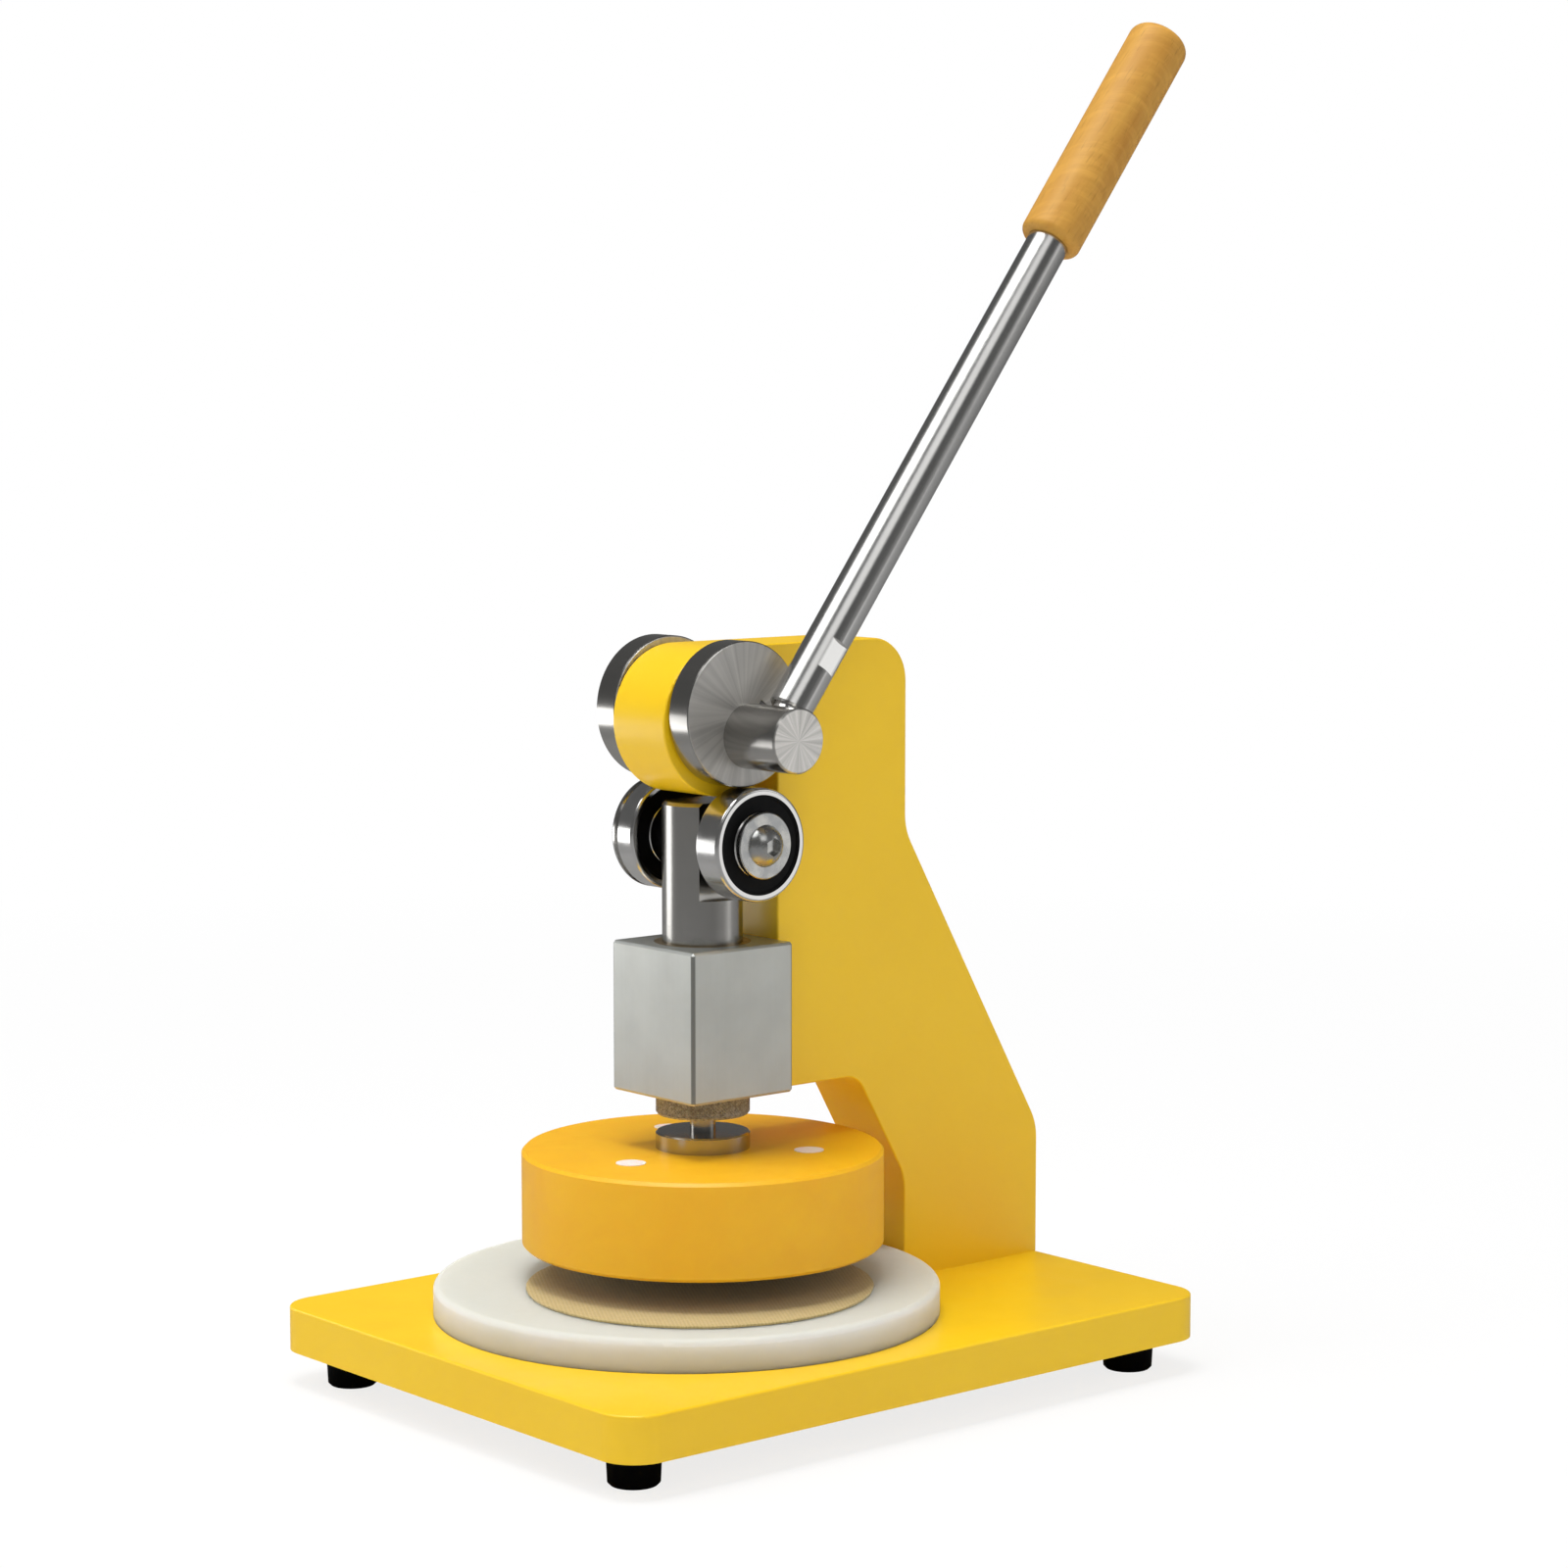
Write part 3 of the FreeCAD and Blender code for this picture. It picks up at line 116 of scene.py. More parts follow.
def length_setting(name, description, metres):
    return FloatProperty(
        name=name, description=description, unit="LENGTH", min=0, precision=5, default=metres
    )


def share_setting(name, description, share):
    return FloatProperty(
        name=name, description=description, subtype="FACTOR", min=0, max=1, default=share
    )


def angle_setting(name, description, degrees):
    return FloatProperty(
        name=name, description=description, subtype="ANGLE", unit="ROTATION",
        default=math.radians(degrees),
    )


def power_setting(name, description, watts):
    return FloatProperty(
        name=name, description=description, subtype="POWER", unit="POWER", min=0, default=watts
    )


def count_setting(name, description, least, most, count):
    return IntProperty(name=name, description=description, min=least, max=most, default=count)


class PaintSettings(bpy.types.PropertyGroup):
    yellow: colour_setting("Yellow", "Satin paint of the base and the column", 250, 206, 14)
    deep_yellow: colour_setting("Deep yellow", "Paint where the coat is a little thicker", 247, 200, 12)
    gloss: share_setting("Gloss", "Clear sheen on top of the paint", 0.12)


class MetalSettings(bpy.types.PropertyGroup):
    steel: colour_setting("Turned steel", "Ram, nut, flange, discs and shaft", 178, 176, 172)
    bearing: colour_setting("Bearing steel", "Rings and needles of the two rollers", 222, 221, 219)
    chrome: colour_setting("Chrome", "Lever rod", 206, 205, 203)
    aluminium: colour_setting("Aluminium", "Guide block", 212, 215, 211)
    block_chamfer: length_setting("Block chamfer", "Chamfer along the guide block's edges", 0.00085)
    zinc: colour_setting("Zinc", "Screws and washers", 196, 195, 190)
    bronze: colour_setting("Bronze", "Bushes", 196, 172, 126)
    spring: colour_setting("Spring steel", "Return spring, clip and keys", 120, 121, 124)
    # The spacers' near-black also serves as painted shade between the rollers and the ram.
    black_oxide_shade: colour_setting("Black oxide", "Spacers behind the rollers", 44, 44, 46)


class PlasticSettings(bpy.types.PropertyGroup):
    amber: colour_setting("Amber", "Body of the press head", 244, 179, 14)
    pale_amber: colour_setting("Pale amber", "Lighter clouds in the press head", 248, 189, 20)
    cap: colour_setting("Cap", "Caps over the head screws", 244, 234, 226)
    nylon: colour_setting("Nylon", "Cut side of the round board", 213, 214, 216)
    # Painted shade: the top of the board is coloured darker than its cut side.
    shaded_top_nylon: colour_setting("Worn nylon", "Top of the round board", 200, 203, 196)
    rubber: colour_setting("Rubber", "Feet and bearing seals", 3, 3, 4)


class WoodSettings(bpy.types.PropertyGroup):
    beech: colour_setting("Beech", "Body colour of the grip", 206, 155, 68)
    dark_beech: colour_setting("Dark beech", "Growth lines of the grip", 189, 133, 52)
    lean: angle_setting("Lean", "How far the lever leans back from upright", 37)


class MatSettings(bpy.types.PropertyGroup):
    diameter: length_setting("Diameter", "Cut size of the woven mat", node_size("press_mat").x)
    thickness: length_setting("Thickness", "Thickness of the cloth", 0.0008)
    lift: length_setting("Lift", "How far the cloth waves up from the board", 0.00025)
    wave: length_setting("Wave", "Size of one wave of the cloth", 0.035)
    fray: length_setting("Fray", "How far the cut edge strays from the round", 0.00012)
    fray_seed: count_setting("Fray seed", "Which way each spot of the cut edge strays", 0, 999, 5)
    sides: count_setting("Sides", "Steps round the mat", 24, 512, 160)
    rings: count_setting("Rings", "Steps from the edge of the mat to its middle", 2, 64, 16)
    yarn: length_setting("Yarn pitch", "Distance from one yarn to the next", 0.0004)
    turn: angle_setting("Turn", "How far the yarns are turned on the board", 14)
    warp: colour_setting("Warp", "Yarns that run back to front", 202, 181, 127)
    weft: colour_setting("Weft", "Yarns that run across", 192, 170, 115)


class NutSettings(bpy.types.PropertyGroup):
    columns: count_setting("Columns", "Knurl points round the nut", 24, 160, 84)
    rows: count_setting("Rows", "Knurl points up the nut", 2, 16, 5)
    relief: length_setting("Relief", "Height of the knurl points", 0.00036)
    edge: length_setting("Edge", "Chamfer at both ends", 0.0006)
    stud_bore: length_setting("Stud bore", "Diameter of the hole for the stud", 0.0081)
    rod_bore: length_setting("Rod bore", "Diameter of the hole for the ram's rod", 0.0161)
    web: length_setting("Web", "Thickness of the floor of the nut", 0.0031)


class SealSettings(bpy.types.PropertyGroup):
    bead: length_setting("Bead", "Width of the raised rim at both edges", 0.0007)
    foot: length_setting("Foot", "Width of the inner rim where it meets the face", 0.00112)
    relief: length_setting("Relief", "Depth of the face between the rims", 0.0002)
    sides: count_setting("Sides", "Steps round a seal", 24, 256, 96)


class StageSettings(bpy.types.PropertyGroup):
    camera_place: place_setting("Camera place", "Where the camera stands", 0.8966, -0.7269, 0.3086)
    camera_turn: angle_setting("Camera turn", "Turn of the camera about the upright axis", 49.714)
    camera_dip: angle_setting("Camera dip", "How far the camera looks down", 5.919)
    lens: FloatProperty(
        name="Lens", description="Focal length on a 36 mm sensor", subtype="DISTANCE_CAMERA",
        unit="CAMERA", default=86.41,
    )
    floor: colour_setting("Floor", "Pale floor", 238, 238, 238)
    floor_size: length_setting("Floor size", "Side of the square floor", 60)
    backdrop: angle_setting("Backdrop", "Turn from the front to the white backdrop", 131)
    aim: place_setting("Aim", "Point that the big lamps face", 0, 0.02, 0.15)
    side_aim: place_setting("Side aim", "Point that the small lamp faces", 0, 0, 0.14)
    key: power_setting("Key", "Soft box overhead", 34)
    front: power_setting("Front", "Wide soft box high in front", 36)
    card: power_setting("Card", "Soft box high at the right of the camera", 12)
    side: power_setting("Side", "Small soft box close by at the left of the press", 0.17)
    fill: power_setting("Fill", "Soft box behind at the right", 1.6)
    ambient: FloatProperty(
        name="Ambient", description="Light of the studio walls", min=0, default=0.4
    )


class PressSettings(bpy.types.PropertyGroup):
    paint: PointerProperty(type=PaintSettings)
    metal: PointerProperty(type=MetalSettings)
    plastic: PointerProperty(type=PlasticSettings)
    wood: PointerProperty(type=WoodSettings)
    mat: PointerProperty(type=MatSettings)
    nut: PointerProperty(type=NutSettings)
    seal: PointerProperty(type=SealSettings)
    stage: PointerProperty(type=StageSettings)


class Nodes:
    """A node tree that is built one named texture at a time."""

    def __init__(self, tree):
        self.tree = tree

    def feed(self, socket, source):
        """Links the socket to another one or sets its value, where three levels are an opaque colour."""
        if isinstance(source, bpy.types.NodeSocket):
            self.tree.links.new(source, socket)
        elif socket.type == "RGBA":
            socket.default_value = (*source, 1)
        else:
            socket.default_value = source

    def add(self, kind, inputs=(), **options):
        node = self.tree.nodes.new("ShaderNode" + kind)
        for name, option in options.items():
            setattr(node, name, option)
        for socket, source in dict(inputs).items():
            self.feed(node.inputs[socket], source)
        return node

    def spot(self, centre=(0, 0, 0), turn=(0, 0, 0), stretch=(1, 1, 1)):
        """Coordinates of the piece about its own centre, along its own axes."""
        place = self.add("TexCoord").outputs["Object"]
        mapped = self.add("Mapping", {"Vector": place}, vector_type="TEXTURE")
        mapped.inputs["Location"].default_value = centre
        mapped.inputs["Rotation"].default_value = turn
        mapped.inputs["Scale"].default_value = [1 / side for side in stretch]
        return mapped.outputs["Vector"]

    def noise(self, place, scale=1, detail=2, roughness=0.5, distortion=0):
        texture = self.add("TexNoise", {
            "Vector": place, "Scale": scale, "Detail": detail,
            "Roughness": roughness, "Distortion": distortion,
        })
        return texture.outputs["Fac"]

    def span(self, value, low=0, high=1, start=0.3, end=0.7):
        """A value from start to end becomes one from low to high."""
        mapped = self.add("MapRange", {
            "Value": value, "From Min": start, "From Max": end, "To Min": low, "To Max": high,
        })
        return mapped.outputs["Result"]

    def at_edge(self, value, edge, start, full=NEAR_EDGE, share=1):
        """0 until a little before the edge, and the whole share close to it and beyond."""
        return self.span(value, high=share, start=edge - start, end=edge - full)

    def mix(self, share, first, second):
        """A colour between two."""
        node = self.add("Mix", data_type="RGBA", blend_type="MIX", clamp_factor=True)
        for index, source in ((0, share), (6, first), (7, second)):
            self.feed(node.inputs[index], source)
        return node.outputs[2]

    def blend(self, share, first, second):
        """A number between two."""
        return self.add("Mix", {0: share, 2: first, 3: second}).outputs[0]

    def layer(self, share, under, over):
        """A shader between two."""
        return self.add("MixShader", {0: share, 1: under, 2: over}).outputs[0]

    def maths(self, operation, *terms):
        return self.add("Math", dict(enumerate(terms)), operation=operation).outputs[0]

    def vector(self, operation, *terms):
        return self.add("VectorMath", dict(enumerate(terms)), operation=operation).outputs["Vector"]

    def measure(self, operation, *terms):
        """A number that is taken from one vector or from two."""
        return self.add("VectorMath", dict(enumerate(terms)), operation=operation).outputs["Value"]

    def parts(self, vector):
        node = self.add("SeparateXYZ", {"Vector": vector})
        return [node.outputs[axis] for axis in "XYZ"]

    def from_axis(self, place, across=(0, 1, 1)):
        """Vector to each spot straight out from an axis: X, unless the sides across it are given."""
        return self.vector("MULTIPLY", place, across)

    def on_line(self, distance):
        """Spot on a straight line, for a texture that changes with one distance only."""
        return self.add("CombineXYZ", {"X": distance}).outputs[0]

    def rays(self):
        """Marks of the rays that show the studio itself and of those that the metal mirrors."""
        path = self.add("LightPath").outputs
        seen = self.maths("MAXIMUM", path["Is Camera Ray"], path["Is Transmission Ray"])
        return seen, path["Is Glossy Ray"]


class Finish(Nodes):
    """A material that ends in one shader, whose even values are set on its own sockets."""

    def __init__(self, name, **sockets):
        self.material = bpy.data.materials.new(name)
        self.material.use_nodes = True
        super().__init__(self.material.node_tree)
        self.shader = self.tree.nodes["Principled BSDF"]
        self.set(**sockets)

    def set(self, **sockets):
        for name, source in sockets.items():
            self.feed(self.shader.inputs[name.replace("_", " ")], source)

    def mottle(self, texture, first, second, roughness, start=0.3, end=0.7):
        """Two colours and a range of roughness that follow one texture."""
        low, high = roughness
        self.set(
            Base_Color=self.mix(self.span(texture, start=start, end=end), first, second),
            Roughness=self.span(texture, low, high),
        )

    def relief(self, height, strength, depth=FINE_DEPTH):
        """Adds bumps on top of those that the finish has already."""
        bump = self.add("Bump", {"Height": height, "Strength": strength, "Distance": depth})
        normal = self.shader.inputs["Normal"]
        if normal.is_linked:
            self.feed(bump.inputs["Normal"], normal.links[0].from_socket)
        self.feed(normal, bump.outputs["Normal"])

    def dress(self, *names):
        for name in names:
            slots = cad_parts[name].data.materials
            slots.clear()
            slots.append(self.material)


def settings():
    return bpy.context.scene.badge_press


def start_piece(name, add_primitive, **sizes):
    """Adds a primitive with nothing else selected, and opens it for editing."""
    bpy.ops.object.select_all(action="DESELECT")
    add_primitive(**sizes)
    piece = bpy.context.object
    piece.name = name
    piece.data.name = name
    bpy.ops.object.mode_set(mode="EDIT")
    return piece


def select_in(piece, kind, wanted):
    """Selects the faces, edges or vertices of the open piece that are wanted."""
    bpy.ops.mesh.select_mode(type=kind)
    bpy.ops.mesh.select_all(action="DESELECT")
    mesh = bmesh.from_edit_mesh(piece.data)
    items = {"FACE": mesh.faces, "EDGE": mesh.edges, "VERT": mesh.verts}[kind]
    found = [item for item in items if wanted(item)]
    for item in found:
        item.select_set(True)
    bmesh.update_edit_mesh(piece.data)
    if not found:
        raise RuntimeError("nothing to select on " + piece.name)


def sweep_ring(steps):
    """Extrudes the selected ring, which stands round the Z axis, through steps of radius and height."""
    for (radius, height), (next_radius, next_height) in zip(steps, steps[1:]):
        bpy.ops.mesh.extrude_region_move(
            TRANSFORM_OT_translate={"value": (0, 0, next_height - height)}
        )
        growth = next_radius / radius
        bpy.ops.transform.resize(value=(growth, growth, 1), center_override=(0, 0, next_height))


def close_ring():
    """Joins the end of a swept ring to its start."""
    bpy.ops.mesh.select_all(action="SELECT")
    bpy.ops.mesh.remove_doubles(threshold=SAME_PLACE)
    bpy.ops.mesh.normals_make_consistent(inside=False)


def apply_place():
    """Fixes the place, turn and size of the selected piece in its mesh."""
    bpy.ops.object.transform_apply(location=True, rotation=True, scale=True)


def finish_piece(piece, material, body, slot, *nodes, smooth_below=30):
    """Fixes the piece's place in its mesh and hands it to the body that carries it."""
    apply_place()
    bpy.ops.object.shade_smooth_by_angle(angle=math.radians(smooth_below))
    piece.data.materials.clear()
    piece.data.materials.append(material)
    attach(piece, body)
    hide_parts(*nodes)


class PRESS_OT_paint_plates(bpy.types.Operator):
    """Sprays the base and the column with satin yellow paint"""
    bl_idname = "badge_press.paint_plates"
    bl_label = "Paint Plates"

    def execute(self, context):
        colours = settings().paint
        paint = Finish("yellow_satin_paint", IOR=1.5, Coat_Weight=colours.gloss, Coat_Roughness=0.22)
        place = paint.spot()
        coat = paint.span(paint.noise(place, scale=14, detail=3))
        haze = paint.noise(place, scale=70, detail=4)
        paint.set(
            Base_Color=paint.mix(coat, colours.yellow, colours.deep_yellow),
            Roughness=paint.span(haze, low=0.36, high=0.46),
        )
        paint.relief(paint.noise(place, scale=900, detail=1), strength=0.06, depth=0.0002)
        paint.relief(paint.noise(place, scale=160), strength=0.03, depth=0.0004)
        paint.dress("base_plate", "column_plate")
        return {"FINISHED"}


class PRESS_OT_mould_feet(bpy.types.Operator):
    """Gives the four feet a black moulded rubber finish"""
    bl_idname = "badge_press.mould_feet"
    bl_label = "Mould Feet"

    def execute(self, context):
        black = settings().plastic.rubber
        rubber = Finish("foot_rubber", IOR=1.5, Specular_IOR_Level=0.05)
        place = rubber.spot()
        dust = rubber.noise(place, scale=120, detail=4, roughness=0.6)
        rubber.mottle(dust, black, tint(black, 1.9), roughness=(0.48, 0.66), start=0.45, end=0.8)
        rubber.relief(rubber.noise(place, scale=1600), strength=0.12)
        rubber.dress("foot_front_right", "foot_front_left", "foot_rear_right", "foot_rear_left")
        return {"FINISHED"}


class PRESS_OT_plate_screws(bpy.types.Operator):
    """Plates the screws and the washers with bright zinc"""
    bl_idname = "badge_press.plate_screws"
    bl_label = "Plate Screws"

    def execute(self, context):
        bright = settings().metal.zinc
        zinc = Finish("screw_zinc", Metallic=1)
        place = zinc.spot()
        bloom = zinc.noise(place, scale=260, detail=3)
        zinc.mottle(bloom, bright, tint(bright, 0.9, 0.93, 0.99), roughness=(0.2, 0.34))
        zinc.relief(zinc.noise(place, scale=1400), strength=0.04)
        zinc.dress(
            "foot_screws", "column_screws", "board_screws", "guide_block_screws", "guide_dog_screw",
            "shaft_end_washer", "shaft_end_screw", "roller_screws", "roller_washer_right",
            "roller_washer_left", "head_screws", "head_centre_screw",
        )
        return {"FINISHED"}


class PRESS_OT_cast_bushes(bpy.types.Operator):
    """Gives the bushes of the ram and the shaft an oiled bronze finish"""
    bl_idname = "badge_press.cast_bushes"
    bl_label = "Cast Bushes"

    def execute(self, context):
        dry = settings().metal.bronze
        bronze = Finish("bush_bronze", Metallic=1)
        place = bronze.spot()
        mottle_noise = bronze.noise(place, scale=180, detail=4, roughness=0.6)
        bronze.mottle(mottle_noise, dry, tint(dry, 0.62), roughness=(0.28, 0.42))
        bronze.relief(bronze.noise(place, scale=2200, detail=1), strength=0.08)
        bronze.dress("guide_bush_upper", "guide_bush_lower", "axle_bush_right", "axle_bush_left")
        return {"FINISHED"}


class PRESS_OT_mill_block(bpy.types.Operator):
    """Gives the guide block a bead-blasted aluminium finish, with bare metal on its top and corners, and
    painted shade that darkens the chamfered corners
    """
    bl_idname = "badge_press.mill_block"
    bl_label = "Mill Block"

    def execute(self, context):
        sizes = settings().metal
        bright = sizes.aluminium
        centre = node_centre("guide_block")
        size = node_size("guide_block")
        block = Finish("block_satin_aluminium")
        place = block.spot(centre)
        streaks = block.noise(block.spot(centre, stretch=(900, 900, 22)), detail=3)
        clouds = block.span(block.noise(place, scale=60, detail=3))
        satin = block.mix(clouds, bright, tint(bright, 0.9))
        across, along, up = block.parts(place)
        corner = (size.x + size.y) / 2 - sizes.block_chamfer
        outward = block.maths("ADD", block.maths("ABSOLUTE", across), block.maths("ABSOLUTE", along))
        on_corner = block.at_edge(outward, corner, start=0.0003)
        on_top = block.at_edge(up, size.z / 2, start=0.0004)
        bare = block.maths("MAXIMUM", on_top, on_corner)
        block.set(
            # Painted shade: the chamfered corners are coloured darker than the faces.
            Base_Color=block.mix(on_corner, satin, tint(bright, 0.62)),
            Roughness=block.span(streaks, low=0.4, high=0.5),
            Metallic=block.span(bare, low=0.65, high=1, start=0, end=1),
        )
        block.relief(streaks, strength=0.035)
        block.relief(block.noise(place, scale=2400, detail=1), strength=0.05)
        block.dress("guide_block")
        return {"FINISHED"}


def turned_steel(name, metallic):
    """Steel with the fine rings of turning about an upright axis, and those rings as a texture."""
    steel = Finish(name, Metallic=metallic)
    rings = steel.noise(steel.spot(stretch=(25, 25, 5200)), detail=3)
    steel.relief(rings, strength=0.012)
    return steel, rings


class PRESS_OT_turn_ram(bpy.types.Operator):
    """Gives the ram and the parts in line with it a turned steel finish"""
    bl_idname = "badge_press.turn_ram"
    bl_label = "Turn Ram"

    def execute(self, context):
        bare = settings().metal.steel
        steel, rings = turned_steel("ram_turned_steel", metallic=1)
        clouds = steel.span(steel.noise(steel.spot(), scale=60, detail=3))
        steel.set(
            Base_Color=steel.mix(clouds, bare, tint(bare, 0.9)),
            Roughness=steel.span(rings, low=0.2, high=0.27),
        )
        steel.dress("ram", "head_flange", "head_stud", "press_plate")
        return {"FINISHED"}


class PRESS_OT_face_discs(bpy.types.Operator):
    """Gives the cam discs and the shaft the look of a face turned in the lathe, with its fanned gloss
    painted on as painted highlights
    """
    bl_idname = "badge_press.face_discs"
    bl_label = "Face Discs"

    def execute(self, context):
        discs = self.faced_steel(
            "disc_faced_steel", "cam_disc_right", fans=7, contrast=0.16, face_level=0.44, rim_level=0.19
        )
        discs.dress("cam_disc_right", "cam_disc_left")
        shaft = self.faced_steel(
            "shaft_faced_steel", "cam_shaft", fans=5, contrast=0.24, face_level=0.17, rim_level=0.22
        )
        shaft.dress("cam_shaft")
        return {"FINISHED"}

    def faced_steel(self, name, node, fans, contrast, face_level, rim_level):
        """Steel whose faces are painted paler than the rim, with pale and dark fans on them as painted
        highlights; the roughness of the faces and that of the rim are given.
        """
        face_spread = 0.04
        rim_spread = 0.02
        # Painted light: the faces are coloured paler than the rim.
        paler = 1.2
        bare = settings().metal.steel
        steel = Finish(name)
        outward = steel.from_axis(steel.spot(node_centre(node)))
        reach = steel.measure("LENGTH", outward)
        on_rim = steel.at_edge(reach, node_size(node).y / 2, start=0.0004, full=0.0002)
        wedges = steel.noise(steel.vector("NORMALIZE", outward), scale=fans, detail=3, roughness=0.6)
        # Darker and paler copies of the steel, painted in fans as painted highlights.
        dark = tint(bare, (1 - contrast) * paler)
        pale = tint(bare, (1 + contrast) * paler)
        painted_fan_highlights = steel.mix(steel.span(wedges, start=0.35, end=0.65), dark, pale)
        face = steel.span(wedges, low=face_level - face_spread, high=face_level + face_spread)
        rim = steel.span(wedges, low=rim_level - rim_spread, high=rim_level + rim_spread)
        steel.set(
            Base_Color=steel.mix(on_rim, painted_fan_highlights, bare),
            Metallic=steel.span(on_rim, low=0.75, high=1, start=0, end=1),
            Roughness=steel.blend(on_rim, face, rim),
        )
        return steel


class PRESS_OT_grind_bearings(bpy.types.Operator):
    """Grinds the bearing rings: bright on their sides and a little duller round the rim"""
    bl_idname = "badge_press.grind_bearings"
    bl_label = "Grind Bearings"

    def execute(self, context):
        bright = settings().metal.bearing
        centre = node_centre("roller_outer_ring_right")
        half = node_size("roller_outer_ring_right").x / 2
        rings = Finish("bearing_ground_steel", Metallic=1)
        place = rings.spot(centre)
        along = rings.maths("ABSOLUTE", rings.parts(rings.spot())[0])
        from_middle = rings.maths("ABSOLUTE", rings.maths("SUBTRACT", along, centre.x))
        on_side = rings.at_edge(from_middle, half, start=0.0004)
        reach = rings.measure("LENGTH", rings.from_axis(place))
        lines = rings.noise(rings.on_line(reach), scale=2200)
        rim = rings.span(rings.noise(place, scale=300, detail=3), low=0.15, high=0.22)
        side = rings.span(lines, low=0.12, high=0.16)
        rings.set(
            Base_Color=rings.mix(on_side, tint(bright, 0.93), bright),
            Roughness=rings.blend(on_side, rim, side),
        )
        rings.relief(lines, strength=0.01)
        rings.dress(
            "roller_inner_ring_right", "roller_inner_ring_left", "roller_outer_ring_right",
            "roller_outer_ring_left", "roller_needles_right", "roller_needles_left",
        )
        return {"FINISHED"}


class PRESS_OT_mould_seals(bpy.types.Operator):
    """Models the rubber seals of both bearings with a raised rim at each edge"""
    bl_idname = "badge_press.mould_seals"
    bl_label = "Mould Seals"

    def execute(self, context):
        black = settings().plastic.rubber
        rubber = Finish("seal_rubber", IOR=1.5, Specular_IOR_Level=0.18)
        outward = rubber.from_axis(rubber.spot(node_centre("roller_seals_right")))
        flow = rubber.noise(rubber.vector("NORMALIZE", outward), scale=14, detail=3)
        rubber.mottle(flow, black, tint(black, 1.5), roughness=(0.42, 0.56))
        reach = rubber.measure("LENGTH", outward)
        rubber.relief(rubber.noise(rubber.on_line(reach), scale=1500, detail=1), strength=0.1)
        for side in ("right", "left"):
            node = "roller_seals_" + side
            first = self.one_seal(node + "_moulded", node)
            second = self.other_seal(first)
            self.join_to_bearing(first, second, node, rubber.material, "roller_" + side)
        return {"FINISHED"}

    def one_seal(self, name, node):
        """A ring round the Z axis, with its face up, at the outer end of the bearing."""
        sizes = settings().seal
        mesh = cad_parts[node].data
        centre = node_centre(node)
        reaches = [math.hypot(v.co.y - centre.y, v.co.z - centre.z) for v in mesh.vertices]
        outer = max(reaches)
        inner = min(reaches)
        top = node_size(node).x / 2
        back = min(abs(v.co.x - centre.x) for v in mesh.vertices)
        floor = top - sizes.relief
        bevel = sizes.relief / 2
        seal = start_piece(
            name, bpy.ops.mesh.primitive_circle_add, vertices=sizes.sides, radius=inner,
            location=(0, 0, back),
        )
        sweep_ring([
            (inner, back), (outer, back), (outer, top - bevel), (outer - bevel, top),
            (outer - sizes.bead, top), (outer - sizes.bead - bevel, floor),
            (inner + sizes.foot, floor), (inner + sizes.bead, top),
            (inner + bevel, top), (inner, top - bevel), (inner, back),
        ])
        close_ring()
        bpy.ops.object.mode_set(mode="OBJECT")
        apply_place()
        return seal

    def other_seal(self, first):
        """The same ring with its face down, at the inner end of the bearing."""
        bpy.ops.object.select_all(action="DESELECT")
        first.select_set(True)
        bpy.context.view_layer.objects.active = first
        bpy.ops.object.duplicate()
        second = bpy.context.object
        second.rotation_euler = (math.pi, 0, 0)
        apply_place()
        return second

    def join_to_bearing(self, first, second, node, material, body):
        """Makes one piece of both rings and lays it along the bearing's axis."""
        bpy.ops.object.select_all(action="DESELECT")
        for ring in (second, first):
            ring.select_set(True)
        bpy.context.view_layer.objects.active = first
        bpy.ops.object.join()
        first.rotation_euler = (0, math.pi / 2, 0)
        first.location = node_centre(node)
        finish_piece(first, material, body, "seal_rubber", node)


class PRESS_OT_polish_lever(bpy.types.Operator):
    """Chromes the lever rod, with a painted highlight that makes its wrench flats brighter"""
    bl_idname = "badge_press.polish_lever"
    bl_label = "Polish Lever"

    def execute(self, context):
        colour = settings().metal.chrome
        turn = (-settings().wood.lean, 0, 0)
        hinge = node_centre("cam_shaft")
        foot = Vector((node_centre("lever_rod").x, hinge.y, hinge.z))
        chrome = Finish("lever_polished_chrome", Metallic=1)
        place = chrome.spot(foot, turn)
        drawn = chrome.noise(chrome.spot(foot, turn, stretch=(700, 700, 14)), detail=3)
        clouds = chrome.span(chrome.noise(place, scale=90, detail=3))
        clouded = chrome.mix(clouds, colour, tint(colour, 0.95))
        reach = chrome.measure("LENGTH", chrome.from_axis(place, across=(1, 1, 0)))
        on_round = chrome.at_edge(reach, node_size("lever_rod").x / 2, start=0.0004)
        flats = chrome.span(drawn, low=0.1, high=0.14)
        rounds = chrome.span(drawn, low=0.19, high=0.25)
        # Painted highlight: the wrench flats get a colour brighter than the chrome.
        chrome.set(
            Base_Color=chrome.mix(on_round, tint(colour, 1.3), clouded),
            Roughness=chrome.blend(on_round, flats, rounds),
        )
        chrome.relief(drawn, strength=0.002)
        chrome.dress("lever_rod")
        return {"FINISHED"}


